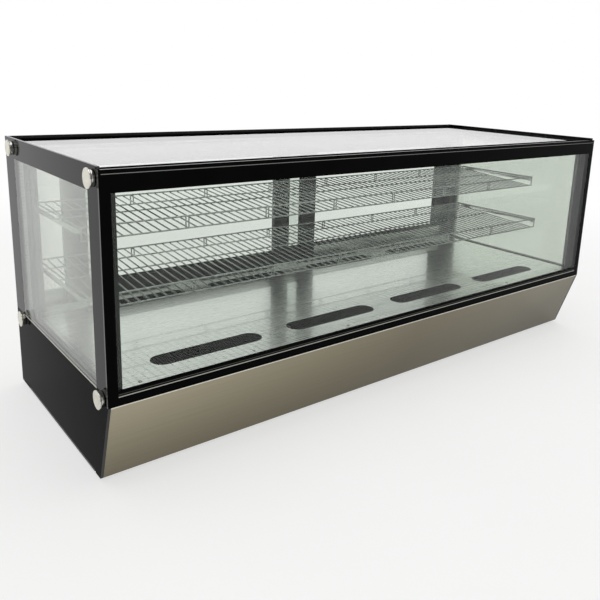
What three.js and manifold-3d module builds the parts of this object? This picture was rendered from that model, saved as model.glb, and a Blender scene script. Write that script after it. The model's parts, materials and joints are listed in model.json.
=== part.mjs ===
// Countertop refrigerated bakery display case, in millimetres, +Z up, front towards -Y.
// The origin is on the floor under the middle of the case.
import * as THREE from 'three';
import { mergeVertices } from 'three/addons/utils/BufferGeometryUtils.js';
import Module from 'manifold-3d';

const wasm = await Module();
wasm.setup();

// ---- Driving dimensions ----------------------------------------------------

const WIDTH = 1750;
const DEPTH = 650;
const BODY_HEIGHT = 686;
const BASE_HEIGHT = 193;
const KICK_SETBACK = 63;
const GAP = 0.3;

const FOOT = { height: 8, radius: 20, inset: 85, rearInset: 60 };
const GLASS = { pane: 6, airGap: 12, spacerWidth: 10 };
const ROOF = { recess: 8, pane: 6, frontDrop: 6 };
const SHEET = { thickness: 2, hem: 34, lip: 6, lipNotch: 28 };
const DECK = { rise: 23, thickness: 3 };
const FRONT_POST_DEPTH = 33;
const RAIL_HEIGHT = 36;
const REAR_FRAME = { postWidth: 47, depth: 75, railHeight: 36, grooveHeight: 16 };

const DOOR = { thickness: 16, stile: 60, bottomRail: 54, topRail: 40, glass: 5, overlap: 100 };
const DOOR_TRACK = { floor: 3, lip: 3, lipHeight: 9, dividerHeight: 50, play: 1.2 };
const DOOR_AJAR = 59;
const DOOR_PULL = { width: 22, height: 110, pocket: 9, inset: 19 };

const GRILLE = { length: 298, width: 60, sideMargin: 77, frontInset: 89, rearInset: 44.7 };
const GRILLE_RIM = { width: 5, slot: 9, rib: 8.4 };

const SHELF = { endGap: 8, wire: 4, pitch: 26, rim: 5, frontDrop: 31, rearDrop: 20, strutPitch: 233.5 };
const UPPER_SHELF = { depth: 332, rearGap: 37.7, headroom: 144.7 };
const LOWER_SHELF = { depth: 368, rearGap: 31.7, rise: 158 };
const BRACKET = { studRadius: 7, studLength: 12, plate: 3, plateHeight: 12, inset: 12 };

const BOLT = { discRadius: 22, discLength: 4, neckRadius: 19, neckLength: 8, stemRadius: 6, stemDepth: 12 };
const BOLT_FRONT_INSET = 30;
const BOLT_REAR_INSET = 64;
const BOLT_TOP_INSET = 25;
const BOLT_LOW_RISE = 11;
const STEM_CLEARANCE = 0.4;

const TUB = { wall: 14, plenumDepth: 46, floorGap: 32.7, kickGap: 25, wellEnd: 140 };
const FAN_WALL = { y: -30, thickness: 4 };
const COIL = { sideGap: 211, frontY: 24, length: 520, depth: 96, height: 92 };
const COIL_FIN = { pitch: 52, width: 16 };
const EVAPORATOR_FAN = { radius: 46, inset: 120, pitch: 280, length: 20, clearance: 4 };
const FAN_BLADE = { count: 5, thickness: 3, twist: 0.6, hubRatio: 0.34, sweep: 0.56 };

const COMPRESSOR = { fromWell: 160, y: 70, radius: 68, height: 132, plate: 4 };
const CONDENSER = { sideGap: 262, rearInset: 62, length: 256, depth: 44, height: 132 };
const CONDENSER_FIN = { pitch: 32, width: 12 };
const CONDENSER_FAN = { radius: 56, length: 22, clearance: 4, shroudDepth: 26, bridge: 10 };
const DRAIN_PAN = { y: -110, width: 240, depth: 150, height: 30, wall: 2 };

const REAR_PANEL = { inset: 4, flange: 14 };
const LOUVRE = { width: 108, height: 6, pitch: 15, columnPitch: 128, firstRise: 34, rows: 8 };
const LOUVRE_FROM_INLET = 220;
const THERMOSTAT = { x: 20, rise: 100, width: 78, height: 34, depth: 44, bezel: 2.6, border: 5 };
const BUTTON = { radius: 4, length: 5, pitch: 13, clearance: 0.3, proud: 0.6, fromEdge: 10 };
const SWITCH = { x: -70, pitch: 42, width: 14 };
const ROCKER = { radius: 11.5, halfAngle: 0.87, valley: 8.5, back: 4, tilt: 0.14 };
const SWITCH_PLAY = 0.45;
const INLET = { sideGap: 42, rise: 60, width: 50, height: 30, depth: 26, face: 2.6, border: 5, wall: 4 };
const INLET_PIN = { width: 2, height: 6, length: 16, pitch: 11.2 };

const LIGHT = { sideGap: 71, depth: 22, height: 12, lens: 7, rearGap: 2 };

const ROUND = 24;
const FINE_ROUND = 16;

// ---- Derived places ----------------------------------------------------------

const halfWidth = WIDTH / 2;
const frontY = -DEPTH / 2;
const rearY = DEPTH / 2;
const baseZ = FOOT.height;
const topZ = baseZ + BODY_HEIGHT;
const kneeZ = baseZ + BASE_HEIGHT;
const deckZ = kneeZ + DECK.rise;
const deckUnderZ = deckZ - DECK.thickness;
const roofZ = topZ - ROOF.recess;
const roofUnderZ = roofZ - ROOF.pane;
const frameTopZ = roofUnderZ - GAP;
const trayTopZ = baseZ + SHEET.lip;

const sideInnerX = halfWidth - GLASS.pane - GAP;
const chamberX = halfWidth - 2 * GLASS.pane - GLASS.airGap;
const frontPaneBackY = frontY + GLASS.pane;
const chamberFrontY = frontY + 2 * GLASS.pane + GLASS.airGap;
const postBackY = frontPaneBackY + FRONT_POST_DEPTH;
const rearFrameY = rearY - REAR_FRAME.depth;
const jambX = halfWidth - GLASS.pane - REAR_FRAME.postWidth;
const chamberRearY = rearFrameY - GAP;
const railUnderZ = frameTopZ - REAR_FRAME.railHeight;

const tubRimZ = deckUnderZ - GAP;
const plenumZ = tubRimZ - TUB.plenumDepth;
const wellZ = baseZ + SHEET.thickness + TUB.floorGap;
const coilX = COIL.sideGap - chamberX;
const compressorX = TUB.wellEnd + COMPRESSOR.fromWell;
const condenserX = jambX - CONDENSER.sideGap;
const inletX = INLET.sideGap - jambX;

// ---- Finishes ------------------------------------------------------------------

function finish(color, roughness, metalness, opacity = 1) {
  return new THREE.MeshStandardMaterial({
    color,
    roughness,
    metalness,
    opacity,
    transparent: opacity < 1,
  });
}

const FINISH = {
  glass: finish(0xc9d8d1, 0.05, 0, 0.35),
  brushedSteel: finish(0xb9b8b0, 0.38, 0.9),
  deckSteel: finish(0xd0d4d0, 0.32, 0.9),
  chrome: finish(0xe4e4e2, 0.12, 1),
  blackFrame: finish(0x141515, 0.35, 0.3),
  blackPlastic: finish(0x24262a, 0.55, 0),
  rubber: finish(0x1a1a1a, 0.9, 0),
  aluminium: finish(0xb4b8ba, 0.45, 0.9),
  foam: finish(0xd9dcda, 0.7, 0.1),
  compressor: finish(0x17181a, 0.5, 0.2),
  diffuser: finish(0xf6f7f2, 0.4, 0),
  switchGreen: finish(0x2f9a4b, 0.35, 0),
  switchRed: finish(0xb3302a, 0.35, 0),
};

// ---- Shape helpers ---------------------------------------------------------------

const caseGroup = new THREE.Group();

function addPart(name, geometry, material) {
  const mesh = new THREE.Mesh(geometry, material);
  mesh.name = name;
  caseGroup.add(mesh);
}

function box(x0, x1, y0, y1, z0, z1) {
  const geometry = new THREE.BoxGeometry(x1 - x0, y1 - y0, z1 - z0);
  geometry.translate((x0 + x1) / 2, (y0 + y1) / 2, (z0 + z1) / 2);
  return geometry;
}

function shapeOf(points, holes = []) {
  const shape = new THREE.Shape(points.map(([u, v]) => new THREE.Vector2(u, v)));
  for (const hole of holes) {
    shape.holes.push(new THREE.Path(hole.map(([u, v]) => new THREE.Vector2(u, v))));
  }
  return shape;
}

// Extrudes an outline drawn in Y and Z along X.
function extrudeX(points, x0, x1, holes = []) {
  const settings = { depth: x1 - x0, bevelEnabled: false };
  const geometry = new THREE.ExtrudeGeometry(shapeOf(points, holes), settings);
  geometry.rotateX(Math.PI / 2);
  geometry.rotateZ(Math.PI / 2);
  geometry.translate(x0, 0, 0);
  return geometry;
}

// Extrudes an outline drawn in X and Z along Y.
function extrudeY(points, y0, y1, holes = []) {
  const settings = { depth: y1 - y0, bevelEnabled: false };
  const geometry = new THREE.ExtrudeGeometry(shapeOf(points, holes), settings);
  geometry.rotateX(Math.PI / 2);
  geometry.translate(0, y1, 0);
  return geometry;
}

// Extrudes an outline drawn in X and Y along Z.
function extrudeZ(points, z0, z1, holes = []) {
  const settings = { depth: z1 - z0, bevelEnabled: false };
  const geometry = new THREE.ExtrudeGeometry(shapeOf(points, holes), settings);
  geometry.translate(0, 0, z0);
  return geometry;
}

function rectangle(u0, u1, v0, v1) {
  return [[u0, v0], [u1, v0], [u1, v1], [u0, v1]];
}

// A slot outline with half-round ends, lying along the first direction.
function stadium(u, v, length, width, segments) {
  const radius = width / 2;
  const reach = length / 2 - radius;
  const points = [];
  for (let i = 0; i <= segments; i += 1) {
    const angle = -Math.PI / 2 + (Math.PI * i) / segments;
    points.push([u + reach + radius * Math.cos(angle), v + radius * Math.sin(angle)]);
  }
  for (let i = 0; i <= segments; i += 1) {
    const angle = Math.PI / 2 + (Math.PI * i) / segments;
    points.push([u - reach + radius * Math.cos(angle), v + radius * Math.sin(angle)]);
  }
  return points;
}

function cylinderX(x0, x1, y, z, radius, segments = ROUND) {
  const geometry = new THREE.CylinderGeometry(radius, radius, x1 - x0, segments);
  geometry.rotateZ(Math.PI / 2);
  geometry.translate((x0 + x1) / 2, y, z);
  return geometry;
}

function cylinderY(x, y0, y1, z, radius, segments = ROUND) {
  const geometry = new THREE.CylinderGeometry(radius, radius, y1 - y0, segments);
  geometry.translate(x, (y0 + y1) / 2, z);
  return geometry;
}

function cylinderZ(x, y, z0, z1, radius, segments = ROUND) {
  const geometry = new THREE.CylinderGeometry(radius, radius, z1 - z0, segments);
  geometry.rotateX(Math.PI / 2);
  geometry.translate(x, y, (z0 + z1) / 2);
  return geometry;
}

function toManifold(geometry) {
  const bare = geometry.clone();
  bare.deleteAttribute('normal');
  bare.deleteAttribute('uv');
  const welded = mergeVertices(bare, 1e-4);
  const mesh = new wasm.Mesh({
    numProp: 3,
    vertProperties: new Float32Array(welded.attributes.position.array),
    triVerts: new Uint32Array(welded.index.array),
  });
  return new wasm.Manifold(mesh);
}

function toGeometry(solid) {
  const mesh = solid.getMesh();
  const geometry = new THREE.BufferGeometry();
  geometry.setAttribute('position', new THREE.BufferAttribute(mesh.vertProperties, 3));
  geometry.setIndex(new THREE.BufferAttribute(mesh.triVerts, 1));
  geometry.computeVertexNormals();
  return geometry;
}

function join(geometries) {
  const [first, ...others] = geometries.map(toManifold);
  return toGeometry(others.reduce((whole, piece) => whole.add(piece), first));
}

function cut(geometry, tools) {
  const body = toManifold(geometry);
  return toGeometry(tools.map(toManifold).reduce((whole, tool) => whole.subtract(tool), body));
}

// ---- Base and feet ------------------------------------------------------------------

// The kick panel's outer face leans back below the knee.
function kickFaceY(z) {
  return frontY + (KICK_SETBACK * (kneeZ - z)) / BASE_HEIGHT;
}

function baseTray() {
  const sheetTop = baseZ + SHEET.thickness;
  const frontEdge = kickFaceY(baseZ) + SHEET.hem;
  const innerX = sideInnerX - GAP;
  const profile = [
    [-halfWidth, baseZ],
    [halfWidth, baseZ],
    [halfWidth, trayTopZ],
    [innerX, trayTopZ],
    [innerX, baseZ + SHEET.hem],
    [innerX - SHEET.thickness, baseZ + SHEET.hem],
    [innerX - SHEET.thickness, sheetTop],
    [SHEET.thickness - innerX, sheetTop],
    [SHEET.thickness - innerX, baseZ + SHEET.hem],
    [-innerX, baseZ + SHEET.hem],
    [-innerX, trayTopZ],
    [-halfWidth, trayTopZ],
  ];
  return extrudeY(profile, frontEdge, rearFrameY - GAP);
}

function rearBaseBeam() {
  const panelY = rearY - REAR_PANEL.inset - SHEET.thickness;
  const startY = rearFrameY - SHEET.thickness;
  return extrudeX(
    [
      [startY, baseZ],
      [rearY, baseZ],
      [rearY, trayTopZ],
      [panelY - REAR_PANEL.flange - GAP, trayTopZ],
      [panelY - REAR_PANEL.flange - GAP, baseZ + SHEET.thickness],
      [startY, baseZ + SHEET.thickness],
    ],
    -halfWidth,
    halfWidth,
  );
}

function feet() {
  const x = halfWidth - FOOT.inset;
  const rows = { front: kickFaceY(baseZ) + FOOT.inset, rear: rearY - FOOT.rearInset };
  for (const [side, sign] of [['left', -1], ['right', 1]]) {
    for (const [row, y] of Object.entries(rows)) {
      addPart(`${side}_${row}_foot`, cylinderZ(sign * x, y, 0, baseZ - GAP, FOOT.radius), FINISH.rubber);
    }
  }
}

function kickPanel() {
  const t = SHEET.thickness;
  const topZ0 = kneeZ - GAP;
  const outline = [
    [kickFaceY(baseZ), baseZ],
    [kickFaceY(baseZ) + SHEET.hem - GAP, baseZ],
    [kickFaceY(baseZ) + SHEET.hem - GAP, baseZ + t],
    [kickFaceY(baseZ + t) + t, baseZ + t],
    [kickFaceY(topZ0 - t) + t, topZ0 - t],
    [kickFaceY(topZ0) + SHEET.hem, topZ0 - t],
    [kickFaceY(topZ0) + SHEET.hem, topZ0],
    [kickFaceY(topZ0), topZ0],
  ];
  return extrudeX(outline, -sideInnerX, sideInnerX);
}

// ---- Glass and its frames ----------------------------------------------------------------

function boltPlaces() {
  const frontBoltY = frontY + BOLT_FRONT_INSET;
  const rearBoltY = rearY - BOLT_REAR_INSET;
  const topBoltZ = topZ - BOLT_TOP_INSET;
  const lowBoltZ = kneeZ + BOLT_LOW_RISE;
  return {
    front_upper: [frontBoltY, topBoltZ],
    front_lower: [frontBoltY, lowBoltZ],
    rear_upper: [rearBoltY, topBoltZ],
    rear_lower: [rearBoltY, lowBoltZ],
  };
}

function boltHoles(x0, x1) {
  const radius = BOLT.stemRadius + STEM_CLEARANCE;
  return Object.values(boltPlaces()).map(([y, z]) => cylinderX(x0, x1, y, z, radius, FINE_ROUND));
}

function bolt(sign, y, z) {
  const outer = halfWidth + GAP + BOLT.neckLength + BOLT.discLength;
  const bevel = 1;
  const profile = [
    [0, halfWidth - GLASS.pane - BOLT.stemDepth],
    [BOLT.stemRadius, halfWidth - GLASS.pane - BOLT.stemDepth],
    [BOLT.stemRadius, halfWidth + GAP],
    [BOLT.neckRadius, halfWidth + GAP],
    [BOLT.neckRadius, outer - BOLT.discLength],
    [BOLT.discRadius, outer - BOLT.discLength],
    [BOLT.discRadius, outer - bevel],
    [BOLT.discRadius - bevel, outer],
    [0, outer],
  ];
  const geometry = new THREE.LatheGeometry(profile.map(([r, h]) => new THREE.Vector2(r, h)), FINE_ROUND);
  geometry.rotateZ((-sign * Math.PI) / 2);
  geometry.translate(0, y, z);
  return toGeometry(toManifold(geometry));
}

function bolts() {
  for (const [side, sign] of [['left', -1], ['right', 1]]) {
    for (const [place, [y, z]] of Object.entries(boltPlaces())) {
      addPart(`${side}_${place}_glass_bolt`, bolt(sign, y, z), FINISH.chrome);
    }
  }
}

function sideOuterPane(sign) {
  const lowZ = trayTopZ + GAP;
  const notchY = kickFaceY(baseZ) + SHEET.lipNotch;
  const outline = [
    [rearY, lowZ],
    [rearY, topZ],
    [frontPaneBackY + GAP, topZ],
    [frontPaneBackY + GAP, kneeZ - GAP],
    [frontY, kneeZ - GAP],
    [kickFaceY(baseZ), baseZ],
    [notchY, baseZ],
    [notchY, lowZ],
  ];
  const [x0, x1] = sign > 0 ? [halfWidth - GLASS.pane, halfWidth] : [-halfWidth, GLASS.pane - halfWidth];
  return cut(extrudeX(outline, x0, x1), boltHoles(x0 - 1, x1 + 1));
}

// The inner pane of a sealed unit, with the spacer bar that is bonded round its edge.
function sideInnerGlazing(sign) {
  const y0 = postBackY + GAP;
  const y1 = rearFrameY - GAP;
  const z0 = kneeZ;
  const z1 = frameTopZ;
  const w = GLASS.spacerWidth;
  const inner = chamberX;
  const middle = inner + GLASS.pane;
  const outer = sideInnerX;
  const hole = rectangle(y0 + w, y1 - w, z0 + w, z1 - w);
  const [p0, p1] = sign > 0 ? [inner, middle] : [-middle, -inner];
  const [s0, s1] = sign > 0 ? [middle, outer] : [-outer, -middle];
  return join([
    box(p0, p1, y0, y1, z0, z1),
    extrudeX(rectangle(y0, y1, z0, z1), s0, s1, [hole]),
  ]);
}

function frontOuterPane() {
  return box(-halfWidth, halfWidth, frontY, frontPaneBackY, kneeZ, topZ - ROOF.frontDrop);
}

function frontInnerGlazing() {
  const x = chamberX - GAP;
  const w = GLASS.spacerWidth;
  const hole = rectangle(w - x, x - w, kneeZ + w, frameTopZ - w);
  return join([
    box(-x, x, chamberFrontY - GLASS.pane, chamberFrontY, kneeZ, frameTopZ),
    extrudeY(
      rectangle(-x, x, kneeZ, frameTopZ),
      frontPaneBackY + GAP,
      chamberFrontY - GLASS.pane,
      [hole],
    ),
  ]);
}

function frontFrame() {
  const lowRailTop = deckUnderZ - GAP;
  const hole = rectangle(-chamberX, chamberX, lowRailTop, frameTopZ - RAIL_HEIGHT);
  const outline = rectangle(-sideInnerX, sideInnerX, kneeZ, frameTopZ);
  const ring = extrudeY(outline, chamberFrontY + GAP, postBackY, [hole]);
  const posts = [[-sideInnerX, -chamberX], [chamberX, sideInnerX]];
  const postBoxes = posts.map(([x0, x1]) => (
    box(x0, x1, frontPaneBackY + GAP, postBackY, kneeZ, frameTopZ)
  ));
  const depth = sideInnerX - BOLT.stemDepth - GAP;
  const holes = [...boltHoles(depth, halfWidth), ...boltHoles(-halfWidth, -depth)];
  return cut(join([ring, ...postBoxes]), holes);
}

function doorLanes() {
  const inner = rearFrameY + DOOR_TRACK.lip + DOOR_TRACK.play;
  const outer = inner + DOOR.thickness + 2 * DOOR_TRACK.play + DOOR_TRACK.lip;
  return { inner, outer };
}

function rearFrame() {
  const outline = [
    [-sideInnerX, trayTopZ + GAP],
    [-jambX, trayTopZ + GAP],
    [-jambX, railUnderZ],
    [jambX, railUnderZ],
    [jambX, trayTopZ + GAP],
    [sideInnerX, trayTopZ + GAP],
    [sideInnerX, frameTopZ],
    [-sideInnerX, frameTopZ],
  ];
  const portal = extrudeY(outline, rearFrameY, rearY);
  const grooves = Object.values(doorLanes()).map((y) => box(
    -jambX,
    jambX,
    y - DOOR_TRACK.play,
    y + DOOR.thickness + DOOR_TRACK.play,
    railUnderZ - 1,
    railUnderZ + REAR_FRAME.grooveHeight,
  ));
  const depth = sideInnerX - BOLT.stemDepth - GAP;
  const holes = [...boltHoles(depth, halfWidth), ...boltHoles(-halfWidth, -depth)];
  return cut(portal, [...grooves, ...holes]);
}

// The stainless sill the doors slide on, with a tall divider between the two lanes.
function doorTrack() {
  const lanes = doorLanes();
  const floor = deckZ + DOOR_TRACK.floor;
  const play = DOOR_TRACK.play;
  const divider = lanes.inner + DOOR.thickness + play;
  const rearLip = lanes.outer + DOOR.thickness + play;
  const profile = [
    [rearFrameY, deckUnderZ],
    [rearY - GAP, deckUnderZ],
    [rearY - GAP, floor],
    [rearLip + DOOR_TRACK.lip, floor],
    [rearLip + DOOR_TRACK.lip, floor + DOOR_TRACK.lipHeight],
    [rearLip, floor + DOOR_TRACK.lipHeight],
    [rearLip, floor],
    [divider + DOOR_TRACK.lip, floor],
    [divider + DOOR_TRACK.lip, floor + DOOR_TRACK.dividerHeight],
    [divider, floor + DOOR_TRACK.dividerHeight],
    [divider, floor],
    [rearFrameY + DOOR_TRACK.lip, floor],
    [rearFrameY + DOOR_TRACK.lip, floor + DOOR_TRACK.lipHeight],
    [rearFrameY, floor + DOOR_TRACK.lipHeight],
  ];
  return extrudeX(profile, GAP - jambX, jambX - GAP);
}

function roofPane() {
  return box(-sideInnerX, sideInnerX, frontPaneBackY + GAP, rearY, roofUnderZ, roofZ);
}

// ---- Sliding doors ----------------------------------------------------------------------

function doorSize() {
  const width = jambX - 2 + DOOR.overlap / 2;
  const bottom = deckZ + DOOR_TRACK.floor + DOOR_TRACK.play;
  const top = railUnderZ + REAR_FRAME.grooveHeight - 2 * DOOR_TRACK.play;
  return { width, bottom, top };
}

function doorFrame(x0, y0, pullX) {
  const { width, bottom, top } = doorSize();
  const hole = rectangle(
    x0 + DOOR.stile,
    x0 + width - DOOR.stile,
    bottom + DOOR.bottomRail,
    top - DOOR.topRail,
  );
  const frame = extrudeY(rectangle(x0, x0 + width, bottom, top), y0, y0 + DOOR.thickness, [hole]);
  const pullZ = (bottom + top) / 2;
  const pocket = box(
    pullX - DOOR_PULL.width / 2,
    pullX + DOOR_PULL.width / 2,
    y0 + DOOR.thickness - DOOR_PULL.pocket,
    y0 + DOOR.thickness + 1,
    pullZ - DOOR_PULL.height / 2,
    pullZ + DOOR_PULL.height / 2,
  );
  return cut(frame, [pocket]);
}

function doorGlass(x0, y0) {
  const { width, bottom, top } = doorSize();
  const middle = y0 + DOOR.thickness / 2;
  return box(
    x0 + DOOR.stile + GAP,
    x0 + width - DOOR.stile - GAP,
    middle - DOOR.glass / 2,
    middle + DOOR.glass / 2,
    bottom + DOOR.bottomRail + GAP,
    top - DOOR.topRail - GAP,
  );
}

function doors() {
  const lanes = doorLanes();
  const { width } = doorSize();
  const leftX = 2 - jambX + DOOR_AJAR;
  const rightX = jambX - 2 - width;
  const pull = DOOR_PULL.inset + DOOR_PULL.width / 2;
  addPart('left_door_frame', doorFrame(leftX, lanes.inner, leftX + pull), FINISH.blackFrame);
  addPart('left_door_glass', doorGlass(leftX, lanes.inner), FINISH.glass);
  addPart('right_door_frame', doorFrame(rightX, lanes.outer, rightX + width - pull), FINISH.blackFrame);
  addPart('right_door_glass', doorGlass(rightX, lanes.outer), FINISH.glass);
}

// ---- Deck and its air grilles --------------------------------------------------------------

function grilleCentres() {
  const pitch = (chamberX - GRILLE.sideMargin) / 2;
  return [-1.5, -0.5, 0.5, 1.5].map((step) => step * pitch);
}

function grilleRows() {
  return { front: chamberFrontY + GRILLE.frontInset, rear: chamberRearY - GRILLE.rearInset };
}

function deckPanel() {
  const holes = [];
  for (const y of Object.values(grilleRows())) {
    for (const x of grilleCentres()) {
      const clearance = 2 * GAP;
      holes.push(stadium(x, y, GRILLE.length + clearance, GRILLE.width + clearance, FINE_ROUND / 2));
    }
  }
  const x = chamberX - GAP;
  return extrudeZ(rectangle(-x, x, chamberFrontY + GAP, chamberRearY), deckUnderZ, deckZ, holes);
}

function grille(x, y) {
  const reach = GRILLE.length / 2 - GRILLE.width / 2;
  const halfSlot = GRILLE.width / 2 - GRILLE_RIM.width;
  const step = GRILLE_RIM.slot + GRILLE_RIM.rib;
  const count = Math.floor((2 * reach) / step);
  const slots = [];
  for (let i = 0; i < count; i += 1) {
    const left = x + (i - count / 2) * step + GRILLE_RIM.rib / 2;
    const right = left + GRILLE_RIM.slot;
    slots.push(box(left, right, y - halfSlot, y + halfSlot, deckUnderZ - 1, deckZ + 1));
  }
  const outline = stadium(x, y, GRILLE.length, GRILLE.width, FINE_ROUND / 2);
  return cut(extrudeZ(outline, deckUnderZ, deckZ), slots);
}

function grilles() {
  for (const [row, y] of Object.entries(grilleRows())) {
    grilleCentres().forEach((x, index) => {
      addPart(`${row}_grille_${index + 1}`, grille(x, y), FINISH.blackPlastic);
    });
  }
}

// ---- Wire shelves --------------------------------------------------------------------------

function shelfPlaces() {
  const upperRear = chamberRearY - UPPER_SHELF.rearGap;
  const lowerRear = chamberRearY - LOWER_SHELF.rearGap;
  return {
    upper: { front: upperRear - UPPER_SHELF.depth, rear: upperRear, top: frameTopZ - UPPER_SHELF.headroom },
    lower: { front: lowerRear - LOWER_SHELF.depth, rear: lowerRear, top: deckZ + LOWER_SHELF.rise },
  };
}

function shelf({ front, rear, top: z }) {
  const half = chamberX - SHELF.endGap;
  const w = SHELF.wire;
  const count = Math.floor((2 * half - 2 * SHELF.rim) / SHELF.pitch);
  const step = (2 * half - 2 * SHELF.rim + w) / count;
  const gaps = [];
  for (let i = 0; i < count; i += 1) {
    const left = SHELF.rim - half + i * step;
    gaps.push(box(left, left + step - w, front + SHELF.rim, rear - SHELF.rim, z - 2 * w, z + 1));
  }
  const pieces = [cut(box(-half, half, front, rear, z - w, z), gaps)];
  const edges = [[front, SHELF.frontDrop], [rear - w, SHELF.rearDrop]];
  for (const [y, drop] of edges) {
    pieces.push(box(-half, half, y, y + w, z - drop - w, z - drop));
    for (const x of strutPlaces(half)) {
      pieces.push(box(x - w, x + w, y, y + w, z - drop - w / 2, z - w / 2));
    }
  }
  const middle = (front + rear) / 2;
  pieces.push(box(-half, half, middle, middle + w, z - 2 * w - GAP, z - w - GAP));
  for (const x of [-half, half - w]) {
    pieces.push(box(x, x + w, middle, middle + w, z - 1.5 * w, z - w / 2));
  }
  return join(pieces);
}

function strutPlaces(half) {
  const inner = [-2.5, -1.5, -0.5, 0.5, 1.5, 2.5].map((step) => step * SHELF.strutPitch);
  return [SHELF.wire - half, ...inner, half - SHELF.wire];
}

function shelfBracket(sign, { front, rear, top }) {
  const z = top - SHELF.wire - GAP - BRACKET.studRadius;
  const wall = chamberX - GAP;
  const plateX = wall - BRACKET.plate;
  const studX = wall - BRACKET.studLength;
  const y0 = front + BRACKET.inset;
  const y1 = rear - BRACKET.inset;
  const side = (x0, x1) => (sign > 0 ? [x0, x1] : [-x1, -x0]);
  const [p0, p1] = side(plateX, wall);
  const [s0, s1] = side(studX, wall);
  const halfPlate = BRACKET.plateHeight / 2;
  return join([
    box(p0, p1, y0, y1, z - halfPlate, z + halfPlate),
    cylinderX(s0, s1, y0, z, BRACKET.studRadius, FINE_ROUND),
    cylinderX(s0, s1, y1, z, BRACKET.studRadius, FINE_ROUND),
  ]);
}

function shelves() {
  for (const [name, place] of Object.entries(shelfPlaces())) {
    addPart(`${name}_shelf`, shelf(place), FINISH.chrome);
    addPart(`${name}_shelf_left_bracket`, shelfBracket(-1, place), FINISH.chrome);
    addPart(`${name}_shelf_right_bracket`, shelfBracket(1, place), FINISH.chrome);
  }
}

// ---- Cooling ---------------------------------------------------------------------------------

// The insulated tub: a shallow air plenum under the whole deck, and a well for the coil.
function evaporatorTub() {
  const x = chamberX - GAP;
  const wall = TUB.wall;
  const y0 = postBackY + GAP;
  const y1 = chamberRearY;
  const wellY = kickFaceY(wellZ) + TUB.kickGap;
  const block = join([
    box(-x, x, y0, y1, plenumZ, tubRimZ),
    box(-x, TUB.wellEnd, wellY, y1, wellZ, plenumZ + 1),
  ]);
  const hollow = join([
    box(wall - x, x - wall, y0 + wall, y1 - wall, plenumZ + wall, tubRimZ + 1),
    box(wall - x, TUB.wellEnd - wall, wellY + wall, y1 - wall, wellZ + wall, plenumZ + wall + 1),
  ]);
  const wallY0 = FAN_WALL.y;
  const wallY1 = wallY0 + FAN_WALL.thickness;
  const partition = box(1 - x, TUB.wellEnd - 1, wallY0, wallY1, wellZ + 1, tubRimZ - GAP);
  const tub = join([cut(block, [hollow]), partition]);
  const openings = fanPlaces().map(({ x: fanX, z }) => (
    cylinderY(fanX, wallY0 - 1, wallY1 + 1, z, evaporatorFanOpening())
  ));
  const bridges = fanPlaces().map(({ x: fanX, z }) => {
    const reach = evaporatorFanOpening() + 1;
    const half = FAN_WALL.thickness;
    return box(fanX - half, fanX + half, wallY0, wallY1, z - reach, z + reach);
  });
  return join([cut(tub, openings), ...bridges]);
}

function evaporatorFanOpening() {
  return EVAPORATOR_FAN.radius + EVAPORATOR_FAN.clearance;
}

function fanPlaces() {
  const x = coilX + EVAPORATOR_FAN.inset;
  const z = wellZ + TUB.wall + evaporatorFanOpening() + EVAPORATOR_FAN.clearance;
  return [
    { name: 'left_evaporator_fan', x, z },
    { name: 'right_evaporator_fan', x: x + EVAPORATOR_FAN.pitch, z },
  ];
}

// A hub with flat twisted blades that turns about Y.
function fanRotor(x, y0, z, radius, length) {
  const hubRadius = radius * FAN_BLADE.hubRatio;
  const hub = cylinderY(x, y0, y0 + length, z, hubRadius, FINE_ROUND);
  const blades = [];
  for (let i = 0; i < FAN_BLADE.count; i += 1) {
    const reach = radius - hubRadius / 2;
    const blade = new THREE.BoxGeometry(radius * FAN_BLADE.sweep, FAN_BLADE.thickness, reach);
    blade.rotateZ(FAN_BLADE.twist);
    blade.translate(0, 0, hubRadius / 2 + reach / 2);
    blade.rotateY((2 * Math.PI * i) / FAN_BLADE.count);
    blade.translate(x, y0 + length / 2, z);
    blades.push(blade);
  }
  const envelope = toManifold(cylinderY(x, y0 - length, y0 + 2 * length, z, radius - 1));
  return toGeometry(toManifold(join([hub, ...blades])).intersect(envelope));
}

function evaporatorFans() {
  const y = FAN_WALL.y - EVAPORATOR_FAN.length - 1;
  for (const { name, x, z } of fanPlaces()) {
    addPart(name, fanRotor(x, y, z, EVAPORATOR_FAN.radius, EVAPORATOR_FAN.length), FINISH.blackPlastic);
  }
}

// A block whose top and bottom edges show its fins.
function finnedCoil(x0, y0, z0, { length, depth, height }, fins) {
  const y1 = y0 + depth;
  const { pitch, width: fin } = fins;
  const count = Math.floor((length - fin) / pitch);
  const bite = height / 12;
  const slots = [];
  for (let i = 0; i < count; i += 1) {
    const left = x0 + fin + i * pitch;
    slots.push(box(left, left + pitch - fin, y0 - 1, y1 + 1, z0 - 1, z0 + bite));
    slots.push(box(left, left + pitch - fin, y0 - 1, y1 + 1, z0 + height - bite, z0 + height + 1));
  }
  return cut(box(x0, x0 + fin + count * pitch, y0, y1, z0, z0 + height), slots);
}

function evaporatorCoil() {
  return finnedCoil(coilX, COIL.frontY, wellZ + TUB.wall + GAP, COIL, COIL_FIN);
}

function compressor() {
  const { y, radius, height, plate } = COMPRESSOR;
  const x = compressorX;
  const z = baseZ + SHEET.thickness + GAP;
  const dome = radius * 0.42;
  const profile = [
    [0, 0],
    [radius * 0.8, 0],
    [radius, dome * 0.4],
    [radius, height - plate - dome],
    [radius * 0.86, height - plate - dome * 0.45],
    [radius * 0.5, height - plate - dome * 0.1],
    [0, height - plate],
  ];
  const shell = new THREE.LatheGeometry(profile.map(([r, h]) => new THREE.Vector2(r, h)), ROUND);
  shell.rotateX(Math.PI / 2);
  shell.translate(x, y, z + plate - 1);
  const foot = box(x - radius * 1.2, x + radius * 1.2, y - radius, y + radius, z, z + plate);
  return join([foot, shell]);
}

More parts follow.
